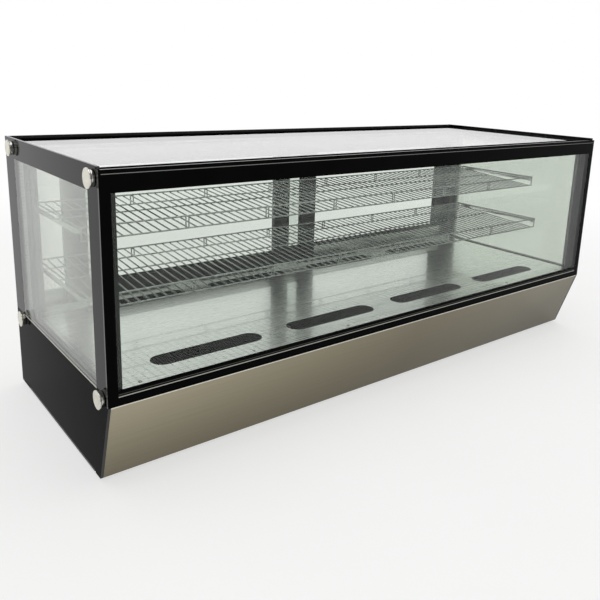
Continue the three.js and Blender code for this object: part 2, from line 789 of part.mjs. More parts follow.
function condenserPlace() {
  return {
    y0: rearY - CONDENSER.rearInset - CONDENSER.depth,
    z: baseZ + SHEET.thickness + GAP,
  };
}

function condenserCoil() {
  const { y0, z } = condenserPlace();
  return finnedCoil(condenserX, y0, z, CONDENSER, CONDENSER_FIN);
}

function condenserShroud() {
  const { length, height } = CONDENSER;
  const left = condenserX;
  const { y0, z } = condenserPlace();
  const back = y0 - GAP;
  const front = back - CONDENSER_FAN.shroudDepth;
  const t = SHEET.thickness;
  const middle = condenserFanCentre();
  const opening = CONDENSER_FAN.radius + CONDENSER_FAN.clearance;
  const shell = cut(box(left, left + length, front, back, z, z + height), [
    box(left + t, left + length - t, front + t, back + 1, z + t, z + height - t),
    cylinderY(middle.x, front - 1, front + t + 1, middle.z, opening),
  ]);
  const reach = opening + 1;
  const half = CONDENSER_FAN.bridge / 2;
  const bridge = box(middle.x - half, middle.x + half, front, front + t, middle.z - reach, middle.z + reach);
  return join([shell, bridge]);
}

function condenserFanCentre() {
  const { y0, z } = condenserPlace();
  return {
    x: condenserX + CONDENSER.length / 2,
    y: y0 - GAP - CONDENSER_FAN.shroudDepth,
    z: z + CONDENSER.height / 2,
  };
}

function condenserFan() {
  const { x, y, z } = condenserFanCentre();
  const start = y - 1 - CONDENSER_FAN.length;
  return fanRotor(x, start, z, CONDENSER_FAN.radius, CONDENSER_FAN.length);
}

function drainPan() {
  const { y, width, depth, height, wall } = DRAIN_PAN;
  const x = condenserX;
  const z = baseZ + SHEET.thickness + GAP;
  const x1 = x + width;
  const y1 = y + depth;
  return cut(box(x, x1, y, y1, z, z + height), [
    box(x + wall, x1 - wall, y + wall, y1 - wall, z + wall, z + height + 1),
  ]);
}

// ---- Rear service panel and controls ------------------------------------------------------------

function rearPanelPlace() {
  const y1 = rearY - REAR_PANEL.inset;
  return { y0: y1 - SHEET.thickness, y1, z0: trayTopZ + GAP, z1: deckUnderZ - GAP };
}

function rearPanel() {
  const { y0, y1, z0, z1 } = rearPanelPlace();
  const t = SHEET.thickness;
  const profile = [
    [y1, z0],
    [y1, z1],
    [y0 - REAR_PANEL.flange, z1],
    [y0 - REAR_PANEL.flange, z1 - t],
    [y0, z1 - t],
    [y0, z0 + t],
    [y0 - REAR_PANEL.flange, z0 + t],
    [y0 - REAR_PANEL.flange, z0],
  ];
  const panel = extrudeX(profile, GAP - jambX, jambX - GAP);
  return cut(panel, [...louvreSlots(), ...controlHoles()]);
}

function louvreSlots() {
  const { y0, y1 } = rearPanelPlace();
  const slots = [];
  const condenserCentre = condenserFanCentre().x;
  for (const centre of [condenserCentre, compressorX, inletX + LOUVRE_FROM_INLET]) {
    for (const column of [-0.5, 0.5]) {
      const x = centre + column * LOUVRE.columnPitch;
      for (let row = 0; row < LOUVRE.rows; row += 1) {
        const z = baseZ + LOUVRE.firstRise + row * LOUVRE.pitch;
        const half = LOUVRE.width / 2;
        slots.push(box(x - half, x + half, y0 - 1, y1 + 1, z, z + LOUVRE.height));
      }
    }
  }
  return slots;
}

function controlHoles() {
  const { y0, y1 } = rearPanelPlace();
  const [t, inlet] = [thermostatPlace(), inletPlace()];
  const holes = [
    box(t.x0 - GAP, t.x1 + GAP, y0 - 1, y1 + 1, t.z0 - GAP, t.z1 + GAP),
    box(inlet.x0 - GAP, inlet.x1 + GAP, y0 - 1, y1 + 1, inlet.z0 - GAP, inlet.z1 + GAP),
  ];
  for (const { x, z } of switchPlaces()) {
    const halfWide = SWITCH.width / 2 + SWITCH_PLAY;
    const reach = ROCKER.radius * Math.sin(ROCKER.halfAngle + ROCKER.tilt) + SWITCH_PLAY;
    holes.push(box(x - halfWide, x + halfWide, y0 - 1, y1 + 1, z - reach, z + reach));
  }
  return holes;
}

function thermostatPlace() {
  const { x, rise, width, height, border } = THERMOSTAT;
  const z = baseZ + rise;
  return {
    x0: x - width / 2 + border,
    x1: x + width / 2 - border,
    z0: z - height / 2 + border,
    z1: z + height / 2 - border,
    z,
  };
}

function buttonPlaces() {
  const edge = THERMOSTAT.x - THERMOSTAT.width / 2 + BUTTON.fromEdge;
  const { z } = thermostatPlace();
  return [
    { name: 'set_button', x: edge, z },
    { name: 'defrost_button', x: edge + BUTTON.pitch, z },
  ];
}

function bezelFaceY() {
  return rearPanelPlace().y1 + GAP + THERMOSTAT.bezel;
}

function thermostat() {
  const { x, width, height, depth, bezel } = THERMOSTAT;
  const { y1 } = rearPanelPlace();
  const t = thermostatPlace();
  const face = bezelFaceY();
  const back = face - bezel;
  const shell = join([
    box(x - width / 2, x + width / 2, back, face, t.z - height / 2, t.z + height / 2),
    box(t.x0, t.x1, y1 - depth, back + 1, t.z0, t.z1),
  ]);
  const wells = buttonPlaces().map(({ x: buttonX, z }) => (
    cylinderY(buttonX, face - BUTTON.length - 2, face + 1, z, BUTTON.radius + BUTTON.clearance, FINE_ROUND)
  ));
  return cut(shell, wells);
}

function buttons() {
  const tip = bezelFaceY() + BUTTON.proud;
  for (const { name, x, z } of buttonPlaces()) {
    const stem = cylinderY(x, tip - BUTTON.length, tip, z, BUTTON.radius, FINE_ROUND);
    addPart(name, stem, FINISH.blackPlastic);
  }
}

function switchPlaces() {
  const z = baseZ + THERMOSTAT.rise;
  return [
    { name: 'power_switch', x: SWITCH.x, z, material: FINISH.switchRed },
    { name: 'light_switch', x: SWITCH.x - SWITCH.pitch, z, material: FINISH.switchGreen },
  ];
}

// A rocker drawn about its pivot: two raised ends with a valley between, tipped to one side.
function rocker(x, z) {
  const { radius, halfAngle, valley, back, tilt } = ROCKER;
  const raisedY = rearPanelPlace().y1 + THERMOSTAT.bezel;
  const pivotY = raisedY - radius * Math.cos(halfAngle - tilt);
  const tip = [radius * Math.cos(halfAngle), radius * Math.sin(halfAngle)];
  const outline = [
    [-back, -tip[1]],
    [tip[0], -tip[1]],
    [valley, 0],
    [tip[0], tip[1]],
    [-back, tip[1]],
  ];
  const geometry = extrudeX(outline, -SWITCH.width / 2, SWITCH.width / 2);
  geometry.rotateX(-tilt);
  geometry.translate(x, pivotY, z);
  return geometry;
}

function switches() {
  for (const { name, x, z, material } of switchPlaces()) {
    addPart(name, rocker(x, z), material);
  }
}

function inletPlace() {
  const { rise, width, height, border } = INLET;
  const x = inletX;
  const z = baseZ + rise;
  return {
    x0: x - width / 2 + border,
    x1: x + width / 2 - border,
    z0: z - height / 2 + border,
    z1: z + height / 2 - border,
    z,
  };
}

function powerInlet() {
  const { width, height, depth, face, wall } = INLET;
  const x = inletX;
  const { y1 } = rearPanelPlace();
  const back = y1 + GAP;
  const place = inletPlace();
  const shell = join([
    box(x - width / 2, x + width / 2, back, back + face, place.z - height / 2, place.z + height / 2),
    box(place.x0, place.x1, y1 - depth, back + 1, place.z0, place.z1),
  ]);
  const cup = cut(shell, [
    box(
      place.x0 + wall,
      place.x1 - wall,
      y1 - depth + wall,
      back + face + 1,
      place.z0 + wall,
      place.z1 - wall,
    ),
  ]);
  const pins = [-1, 0, 1].map((step) => {
    const pinX = x + step * INLET_PIN.pitch;
    const pinY = y1 - depth + wall - 1;
    const halfWide = INLET_PIN.width / 2;
    const halfTall = INLET_PIN.height / 2;
    const pinEnd = pinY + INLET_PIN.length;
    return box(pinX - halfWide, pinX + halfWide, pinY, pinEnd, place.z - halfTall, place.z + halfTall);
  });
  return join([cup, ...pins]);
}

// ---- Lighting ------------------------------------------------------------------------------------

function lightBar() {
  const half = chamberX - LIGHT.sideGap;
  const y0 = postBackY + LIGHT.rearGap;
  const y1 = y0 + LIGHT.depth;
  const top = frameTopZ - GAP;
  const low = top - LIGHT.height;
  const outline = [
    [y0, low],
    [y0 + LIGHT.depth / 4, low - LIGHT.lens],
    [y1 - LIGHT.depth / 4, low - LIGHT.lens],
    [y1, low],
    [y1, top],
    [y0, top],
  ];
  return extrudeX(outline, -half, half);
}

// ---- Assembly ----------------------------------------------------------------------------------------

addPart('base_tray', join([baseTray(), rearBaseBeam()]), FINISH.blackFrame);
feet();
addPart('kick_panel', kickPanel(), FINISH.brushedSteel);
addPart('front_frame', frontFrame(), FINISH.blackFrame);
addPart('rear_frame', rearFrame(), FINISH.blackFrame);
addPart('door_track', doorTrack(), FINISH.brushedSteel);
addPart('left_outer_pane', sideOuterPane(-1), FINISH.glass);
addPart('right_outer_pane', sideOuterPane(1), FINISH.glass);
addPart('left_inner_glazing', sideInnerGlazing(-1), FINISH.glass);
addPart('right_inner_glazing', sideInnerGlazing(1), FINISH.glass);
addPart('front_outer_pane', frontOuterPane(), FINISH.glass);
addPart('front_inner_glazing', frontInnerGlazing(), FINISH.glass);
addPart('roof_pane', roofPane(), FINISH.glass);
bolts();
doors();
addPart('deck_panel', deckPanel(), FINISH.deckSteel);
grilles();
shelves();
addPart('light_bar', lightBar(), FINISH.diffuser);
addPart('evaporator_tub', evaporatorTub(), FINISH.foam);
addPart('evaporator_coil', evaporatorCoil(), FINISH.aluminium);
evaporatorFans();
addPart('compressor', compressor(), FINISH.compressor);
addPart('condenser_coil', condenserCoil(), FINISH.aluminium);
addPart('condenser_shroud', condenserShroud(), FINISH.blackFrame);
addPart('condenser_fan', condenserFan(), FINISH.blackPlastic);
addPart('drain_pan', drainPan(), FINISH.blackPlastic);
addPart('rear_panel', rearPanel(), FINISH.brushedSteel);
addPart('thermostat', thermostat(), FINISH.blackPlastic);
buttons();
switches();
addPart('power_inlet', powerInlet(), FINISH.blackPlastic);

export default caseGroup;
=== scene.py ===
"""Bakery display case: a refrigerated countertop case with a glass house, wire shelves and sliding doors.

Each sub-assembly is a class that makes its meshes and gives them their finishes. Everything is in metres, in
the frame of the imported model: front towards -Y, up is +Z, and the floor is at z = 0.
"""
from __future__ import annotations

import json
import logging
import math
from contextlib import contextmanager
from dataclasses import dataclass
from enum import Enum
from typing import Any, Callable, Iterator, Sequence

import bmesh
import bpy
from bpy.types import Material, Node, NodeSocket, NodeTree, Object
from mathutils import Matrix, Vector


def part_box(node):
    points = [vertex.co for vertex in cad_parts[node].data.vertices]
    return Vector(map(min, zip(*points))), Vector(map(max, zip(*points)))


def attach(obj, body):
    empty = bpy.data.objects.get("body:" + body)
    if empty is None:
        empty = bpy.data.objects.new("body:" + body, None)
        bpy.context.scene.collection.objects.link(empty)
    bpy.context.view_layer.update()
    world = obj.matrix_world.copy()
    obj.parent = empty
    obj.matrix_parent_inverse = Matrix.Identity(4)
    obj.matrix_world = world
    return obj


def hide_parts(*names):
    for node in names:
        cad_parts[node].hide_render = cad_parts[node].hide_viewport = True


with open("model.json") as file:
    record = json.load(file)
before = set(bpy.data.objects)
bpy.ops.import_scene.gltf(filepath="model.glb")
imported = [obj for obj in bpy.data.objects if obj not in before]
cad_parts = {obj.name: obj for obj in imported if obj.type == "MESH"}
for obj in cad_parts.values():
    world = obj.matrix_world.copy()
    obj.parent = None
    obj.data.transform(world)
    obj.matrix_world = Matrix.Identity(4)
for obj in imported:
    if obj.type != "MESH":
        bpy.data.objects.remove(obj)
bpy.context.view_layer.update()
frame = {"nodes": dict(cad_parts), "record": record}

LOG = logging.getLogger("display_case")
MM = 0.001
Test = Callable[[Vector, Vector], bool]
BODY_OF = {node: body for body, nodes in frame["record"]["behaviour"]["bodies"].items() for node in nodes}


# ---- Shading tools ------------------------------------------------------------------------------


def linear(code: str) -> tuple[float, float, float, float]:
    """Turns an sRGB hex colour into a linear one.

    Args:
        code: the colour as "#RRGGBB".

    Returns:
        Linear red, green, blue and an alpha of 1.
    """
    # The curve and its numbers are the sRGB standard's.
    channels = []
    for start in (1, 3, 5):
        share = int(code[start : start + 2], 16) / 255
        channels.append(share / 12.92 if share <= 0.04045 else ((share + 0.055) / 1.055) ** 2.4)
    return (*channels, 1.0)


def add_node(tree: NodeTree, kind: str, settings: dict | None = None) -> Node:
    """Adds a node with its settings and its links.

    Args:
        tree: the tree that gets the node.
        kind: the node's Blender type.
        settings: attribute names, input names or input numbers, with their values. A socket or a node as the
            value is linked to that input. Under "stops" stand a ramp's places and hex colours.

    Returns:
        The new node.
    """
    node = tree.nodes.new(kind)
    for name, value in (settings or {}).items():
        if isinstance(value, Node):
            value = value.outputs[0]
        if name == "stops":
            for _ in range(len(value) - 2):
                node.color_ramp.elements.new(0.5)
            for stop, (place, colour) in zip(node.color_ramp.elements, value):
                stop.position, stop.color = place, linear(colour)
        elif isinstance(value, NodeSocket):
            tree.links.new(value, node.inputs[name])
        elif isinstance(name, str) and name not in node.inputs:
            setattr(node, name, value)
        else:
            node.inputs[name].default_value = value
    return node


def place_of(tree: NodeTree) -> dict[str, NodeSocket]:
    """The shaded point's place on the object, as a vector and as its three parts in metres.

    Args:
        tree: the tree that gets the nodes.

    Returns:
        The vector under "point", and its parts under "x", "y" and "z".
    """
    point = add_node(tree, "ShaderNodeTexCoord").outputs["Object"]
    parts = add_node(tree, "ShaderNodeSeparateXYZ", {"Vector": point}).outputs
    return {"point": point, "x": parts["X"], "y": parts["Y"], "z": parts["Z"]}


def grain(tree: NodeTree, size: tuple[float, float, float], detail: float = 2.0) -> Node:
    """Noise whose cells have a real size.

    Args:
        tree: the tree that gets the nodes.
        size: the length of a cell along x, y and z, in metres.
        detail: how many finer layers it has.

    Returns:
        The noise.
    """
    scale = tuple(1 / length for length in size)
    stretched = add_node(tree, "ShaderNodeMapping", {"Scale": scale, "Vector": place_of(tree)["point"]})
    return add_node(tree, "ShaderNodeTexNoise", {"Scale": 1.0, "Detail": detail, "Vector": stretched})


def inside(tree: NodeTree, *limits: tuple) -> Node:
    """A mask that is 1 where every value lies between its limits, and 0 elsewhere.

    Args:
        tree: the tree that gets the nodes.
        limits: a value's socket with its low and high limit, one for each value.

    Returns:
        The mask.
    """
    mask = 1.0
    for value, low, high in limits:
        near = {"operation": "COMPARE", 0: value, 1: (low + high) / 2, 2: (high - low) / 2}
        band = add_node(tree, "ShaderNodeMath", near)
        mask = add_node(tree, "ShaderNodeMath", {"operation": "MULTIPLY", 0: band, 1: mask})
    return mask


# ---- Finishes -----------------------------------------------------------------------------------


@dataclass(frozen=True)
class Finish:
    """A real material with the way its surface was made. Subclasses say how it is shaded."""

    name: str

    def material(self) -> Material:
        """Makes the Blender material the first time it is asked for, and finds it after that.

        Returns:
            The material.
        """
        known = bpy.data.materials.get(self.name)
        if known:
            return known
        made = bpy.data.materials.new(self.name)
        made.use_nodes = True
        made.node_tree.nodes.clear()
        add_node(made.node_tree, "ShaderNodeOutputMaterial", {"Surface": self.shade(made.node_tree)})
        return made

    def shade(self, tree: NodeTree) -> Node:
        """Builds the shader."""
        raise NotImplementedError

    @staticmethod
    def drifting(colours: tuple[str, ...], low: float = 0.3, high: float = 0.7) -> list[tuple[float, str]]:
        """Returns a ramp's stops, with the colours spread evenly between two values."""
        return [(low + (high - low) * i / (len(colours) - 1), colour) for i, colour in enumerate(colours)]


@dataclass(frozen=True)
class PowderCoat(Finish):
    """Baked powder paint: even colour, a soft gloss and a fine orange-peel relief."""

    colours: tuple[str, str] = ("#0B0C0B", "#141514")
    roughness: float = 0.32
    peel: float = 1.8 * MM
    relief: float = 0.02 * MM
    cloud: float = 60 * MM
    spread: tuple[float, float] = (-0.05, 0.07)

    def shade(self, tree: NodeTree) -> Node:
        """Builds the paint over a slow colour drift and the orange peel.

        Args:
            tree: the tree that gets the nodes.

        Returns:
            The surface shader.
        """
        drift = grain(tree, (self.cloud,) * 3)
        peel = grain(tree, (self.peel,) * 3, 1.0)
        low, high = (self.roughness + change for change in self.spread)
        gloss = {"Value": drift, "To Min": low, "To Max": high}
        return add_node(
            tree,
            "ShaderNodeBsdfPrincipled",
            {
                "Metallic": 0.0,
                "IOR": 1.5,
                "Base Color": add_node(
                    tree, "ShaderNodeValToRGB", {"Fac": drift, "stops": self.drifting(self.colours)}
                ),
                "Roughness": add_node(tree, "ShaderNodeMapRange", gloss),
                "Normal": add_node(tree, "ShaderNodeBump", {"Distance": self.relief, "Height": peel}),
            },
        )


class Grain(Enum):
    """The way the brushing runs: the length of a scratch's cell along x, y and z, in millimetres."""

    ALONG_X = (260.0, 2.2, 2.2)
    ALONG_Z = (2.2, 2.2, 260.0)


@dataclass(frozen=True)
class BrushedSteel(Finish):
    """Stainless sheet brushed one way: long fine scratches that show as streaks of tone and gloss.

    The scratches are about 0.1 mm wide on the real sheet and are drawn about 2 mm wide, so that they show.
    Stretch is how much more a reflection smears across the brushing than along it, wax is how much of a
    clear sealing wax lies on top, and mark is how broad a handling mark is.
    """

    colours: tuple[str, ...] = ("#A9AAA5", "#C3C4BF")
    roughness: tuple[float, float] = (0.24, 0.34)
    run: Grain = Grain.ALONG_X
    relief: float = 0.006 * MM
    smudge: float = 0.05
    stretch: float = 0.0
    wax: float = 0.0
    wax_ior: float = 1.9
    wax_roughness: float = 0.015
    mark: float = 140 * MM

    def shade(self, tree: NodeTree) -> Node:
        """Builds the metal over its brushing and over broad, faint handling marks.

        Args:
            tree: the tree that gets the nodes.

        Returns:
            The surface shader.
        """
        scratches = grain(tree, tuple(length * MM for length in self.run.value), 4.0)
        low, high = (value - self.smudge / 2 for value in self.roughness)
        brushed = add_node(tree, "ShaderNodeMapRange", {"Value": scratches, "To Min": low, "To Max": high})
        marks = grain(tree, (self.mark,) * 3, 3.0)
        gloss = {"operation": "MULTIPLY_ADD", 0: marks, 1: self.smudge, 2: brushed}
        across = "Y" if self.run is Grain.ALONG_X else "X"
        return add_node(
            tree,
            "ShaderNodeBsdfPrincipled",
            {
                "Metallic": 1.0,
                "Anisotropic": self.stretch,
                "Coat Weight": self.wax,
                "Coat IOR": self.wax_ior,
                "Coat Roughness": self.wax_roughness,
                "Base Color": self.tone(tree, scratches),
                "Roughness": add_node(tree, "ShaderNodeMath", gloss),
                "Normal": add_node(tree, "ShaderNodeBump", {"Distance": self.relief, "Height": scratches}),
                "Tangent": add_node(tree, "ShaderNodeCombineXYZ", {across: 1.0}),
            },
        )

    def tone(self, tree: NodeTree, scratches: Node) -> Node:
        """Returns the metal's colour, streaked by its scratches."""
        return add_node(tree, "ShaderNodeValToRGB", {"Fac": scratches, "stops": self.drifting(self.colours)})


@dataclass(frozen=True)
class ShadedSteel(BrushedSteel):
    """Brushed stainless whose warm grey tone darkens downwards and to the right: painted shade.

    foot and head are the heights, and start and end the places along x, between which the painted shade
    deepens. far is how much of the lighter tone is left at the end.
    """

    deep: tuple[str, str] = ("#514B38", "#58523F")
    foot: float = -0.09
    head: float = 0.2
    start: float = -0.8
    end: float = 0.05
    far: float = 0.4

    def tone(self, tree: NodeTree, scratches: Node) -> Node:
        """Returns the streaked colour, mixed towards the darker tone of the painted shade.

        Args:
            tree: the tree that gets the nodes.
            scratches: the noise that draws the brushing.

        Returns:
            The colour.
        """
        place = place_of(tree)
        rise = {"Value": place["z"], "From Min": self.foot, "From Max": self.head}
        up = add_node(tree, "ShaderNodeMapRange", rise)
        run = {"Value": place["x"], "From Min": self.start, "From Max": self.end}
        along = add_node(tree, "ShaderNodeMapRange", {**run, "To Min": 1.0, "To Max": self.far})
        share = add_node(tree, "ShaderNodeMath", {"operation": "MULTIPLY", 0: up, 1: along})
        light = super().tone(tree, scratches)
        dark = add_node(tree, "ShaderNodeValToRGB", {"Fac": scratches, "stops": self.drifting(self.deep)})
        return add_node(tree, "ShaderNodeMixRGB", {0: share, 1: dark, 2: light})


@dataclass(frozen=True)
class PolishedChrome(Finish):
    """Bright chrome plate or polished stainless, with the faint haze that handling leaves."""

    colours: tuple[str, str] = ("#CFCFCB", "#E2E2DE")
    roughness: tuple[float, float] = (0.06, 0.2)
    cloud: float = 9 * MM

    def shade(self, tree: NodeTree) -> Node:
        """Builds the plate over a haze of small clouds.

        Args:
            tree: the tree that gets the nodes.

        Returns:
            The surface shader.
        """
        haze = grain(tree, (self.cloud,) * 3, 3.0)
        low, high = self.roughness
        gloss = {"Value": haze, "To Min": low, "To Max": high}
        stops = self.drifting(self.colours, 0.35, 0.65)
        return add_node(
            tree,
            "ShaderNodeBsdfPrincipled",
            {
                "Metallic": 1.0,
                "Base Color": add_node(tree, "ShaderNodeValToRGB", {"Fac": haze, "stops": stops}),
                "Roughness": add_node(tree, "ShaderNodeMapRange", gloss),
            },
        )


@dataclass(frozen=True)
class MouldedPlastic(Finish):
    """Injection-moulded plastic: a fine spark-eroded texture, with a slight drift in tone."""

    colours: tuple[str, str] = ("#262826", "#333532")
    roughness: float = 0.5
    texture: float = 0.9 * MM
    relief: float = 0.03 * MM
    ior: float = 1.47
    specular: float = 0.5
    cloud: float = 35 * MM
    spread: float = 0.08

    def shade(self, tree: NodeTree) -> Node:
        """Builds the plastic over its texture.

        Args:
            tree: the tree that gets the nodes.

        Returns:
            The surface shader.
        """
        texture = grain(tree, (self.texture,) * 3, 2.0)
        drift = grain(tree, (self.cloud,) * 3, 2.0)
        low, high = self.roughness - self.spread, self.roughness + self.spread
        gloss = {"Value": texture, "To Min": low, "To Max": high}
        return add_node(
            tree,
            "ShaderNodeBsdfPrincipled",
            {
                "Metallic": 0.0,
                "IOR": self.ior,
                "Specular IOR Level": self.specular,
                "Base Color": add_node(
                    tree, "ShaderNodeValToRGB", {"Fac": drift, "stops": self.drifting(self.colours)}
                ),
                "Roughness": add_node(tree, "ShaderNodeMapRange", gloss),
                "Normal": add_node(tree, "ShaderNodeBump", {"Distance": self.relief, "Height": texture}),
            },
        )


@dataclass(frozen=True)
class LampLens(Finish):
    """Opal polycarbonate over a row of small lamps, each of which glows as a soft spot.

    pitch is the distance between lamps, and dim is the share of the glow that is left between two of them.
    """

    colours: tuple[str, str] = ("#F4F6F2", "#E6E9E4")
    glow: float = 1.2
    pitch: float = 26 * MM
    dim: float = 0.6
    cloud: float = 20 * MM

    def shade(self, tree: NodeTree) -> Node:
        """Builds the opal plastic with spots of light along x.

        Args:
            tree: the tree that gets the nodes.

        Returns:
            The surface shader.
        """
        turn = {"operation": "MULTIPLY", 0: place_of(tree)["x"], 1: math.tau / self.pitch}
        wave = {"operation": "COSINE", 0: add_node(tree, "ShaderNodeMath", turn)}
        low = self.glow * self.dim
        spots = {"Value": add_node(tree, "ShaderNodeMath", wave), "From Min": -1.0, "To Min": low}
        milk = {"Fac": grain(tree, (self.cloud,) * 3), "stops": self.drifting(self.colours)}
        return add_node(
            tree,
            "ShaderNodeBsdfPrincipled",
            {
                "IOR": 1.58,
                "Roughness": 0.35,
                "Base Color": add_node(tree, "ShaderNodeValToRGB", milk),
                "Emission Color": linear(self.colours[0]),
                "Emission Strength": add_node(tree, "ShaderNodeMapRange", {**spots, "To Max": self.glow}),
            },
        )


class Facing(Enum):
    """The axis that a pane's broad faces look along."""

    X = "X"
    Y = "Y"
    Z = "Z"


@dataclass(frozen=True)
class ClearGlass(Finish):
    """Clear tempered glass.

    Its broad faces pass light with a faint green tint, reflect more at a glance and carry a thin haze from
    wiping. Its ground edges are dark green, because light runs a long way inside them. glance is the share
    of light that a face mirrors straight on: 0.04 for plain glass, less where it is coated. ripple is how
    long the waves in an edge are, and smear how long the marks of wiping are along x, y and z.
    """

    # A face is broad where its normal lies at least this much along the facing axis.
    BROAD = 0.7

    facing: Facing = Facing.X
    tint: str = "#FAFBFA"
    edge: tuple[str, str] = ("#4F6A5E", "#3B5248")
    haze: float = 0.004
    glance: float = 0.04
    film: str = "#DDE4E0"
    ripple: float = 30 * MM
    smear: tuple[float, float, float] = (160 * MM, 160 * MM, 60 * MM)

    def shade(self, tree: NodeTree) -> Node:
        """Builds the pane: clear broad faces and dark edges.

        Args:
            tree: the tree that gets the nodes.

        Returns:
            The surface shader.
        """
        faces = self.broad(tree, self.clear(tree))
        normal = add_node(tree, "ShaderNodeNewGeometry").outputs["True Normal"]
        along = add_node(tree, "ShaderNodeSeparateXYZ", {"Vector": normal}).outputs[self.facing.value]
        size = add_node(tree, "ShaderNodeMath", {"operation": "ABSOLUTE", 0: along})
        broad = add_node(tree, "ShaderNodeMath", {"operation": "GREATER_THAN", 0: size, 1: self.BROAD})
        waves = {"Fac": grain(tree, (self.ripple,) * 3, 2.0), "stops": self.drifting(self.edge)}
        ground = {"Roughness": 0.2, "IOR": 1.52, "Base Color": add_node(tree, "ShaderNodeValToRGB", waves)}
        edges = add_node(tree, "ShaderNodeBsdfPrincipled", ground)
        return add_node(tree, "ShaderNodeMixShader", {0: broad, 1: edges, 2: faces})

    def broad(self, tree: NodeTree, clear: Node) -> Node:
        """Returns the shader of the broad faces, from that of clear glass."""
        return clear

    def clear(self, tree: NodeTree) -> Node:
        """Returns the shader of clear glass.

        Args:
            tree: the tree that gets the nodes.

        Returns:
            The shader.
        """
        through = add_node(tree, "ShaderNodeBsdfTransparent", {"Color": linear(self.tint)})
        smeared = {"Base Color": linear(self.film), "Roughness": 0.6, "IOR": 1.45}
        film = add_node(tree, "ShaderNodeBsdfPrincipled", smeared)
        polished = {"Metallic": 1.0, "Base Color": linear("#FFFFFF"), "Roughness": 0.0}
        mirror = add_node(tree, "ShaderNodeBsdfPrincipled", polished)
        clouds = grain(tree, self.smear, 3.0)
        wiped = add_node(tree, "ShaderNodeMath", {"operation": "MULTIPLY", 0: clouds, 1: self.haze})
        turned = add_node(tree, "ShaderNodeLayerWeight", {"Blend": 0.5}).outputs["Facing"]
        rise = add_node(tree, "ShaderNodeMath", {"operation": "POWER", 0: turned, 1: 5.0})
        shine = add_node(tree, "ShaderNodeMapRange", {"Value": rise, "To Min": self.glance})
        seen = add_node(tree, "ShaderNodeMixShader", {0: wiped, 1: through, 2: film})
        return add_node(tree, "ShaderNodeMixShader", {0: shine, 1: seen, 2: mirror})


@dataclass(frozen=True)
class PrintedGlass(ClearGlass):
    """Tempered glass with a fired black enamel border round a clear window.

    window holds two axes, each with the window's low and high limit in metres. Each of the lines does the
    same for a thin line drawn in the border, after its colour; the pale ones are painted highlights. The
    enamel under the height foot mirrors less, which darkens it: painted shade. cloud and wave are the sizes
    of its drift in tone and in gloss.
    """

    edge: tuple[str, str] = ("#070A08", "#101512")
    window: tuple[tuple[str, float, float], ...] = ()
    lines: tuple[tuple, ...] = ()
    enamel: tuple[str, str] = ("#020302", "#050605")
    gloss: tuple[float, float] = (0.05, 0.1)
    specular: float = 0.5
    foot: float = 0.0
    foot_specular: float = 0.5
    cloud: float = 80 * MM
    wave: float = 120 * MM

    def broad(self, tree: NodeTree, clear: Node) -> Node:
        """Returns clear glass in the window and enamel round it.

        Args:
            tree: the tree that gets the nodes.
            clear: the shader of clear glass.

        Returns:
            The shader.
        """
        place = place_of(tree)
        shade = {"Fac": grain(tree, (self.cloud,) * 3), "stops": self.drifting(self.enamel)}
        colour = add_node(tree, "ShaderNodeValToRGB", shade)
        # Thin lines drawn into the border; the pale ones are painted highlights along the print's edges.
        for tone, *limits in self.lines:
            drawn = inside(tree, *((place[axis], low, high) for axis, low, high in limits))
            colour = add_node(tree, "ShaderNodeMixRGB", {0: drawn, 1: colour, 2: linear(tone)})
        border = self.fired(tree, colour, self.specular)
        # Under the foot the enamel mirrors less, so the lower part is darker: painted shade.
        if self.foot:
            over = {"operation": "GREATER_THAN", 0: place["z"], 1: self.foot}
            above = add_node(tree, "ShaderNodeMath", over)
            lower = self.fired(tree, colour, self.foot_specular)
            border = add_node(tree, "ShaderNodeMixShader", {0: above, 1: lower, 2: border})
        window = inside(tree, *((place[axis], low, high) for axis, low, high in self.window))
        return add_node(tree, "ShaderNodeMixShader", {0: window, 1: border, 2: clear})

    def fired(self, tree: NodeTree, colour: Node, specular: float) -> Node:
        """Returns the shader of fired enamel under glass, from its colour and its specular level.

        Args:
            tree: the tree that gets the nodes.
            colour: the enamel's colour.
            specular: how much it mirrors, as a specular level.

        Returns:
            The shader.
        """
        low, high = self.gloss
        waves = {"Value": grain(tree, (self.wave,) * 3, 3.0), "To Min": low, "To Max": high}
        return add_node(
            tree,
            "ShaderNodeBsdfPrincipled",
            {
                "IOR": 1.5,
                "Specular IOR Level": specular,
                "Base Color": colour,
                "Roughness": add_node(tree, "ShaderNodeMapRange", waves),
            },
        )


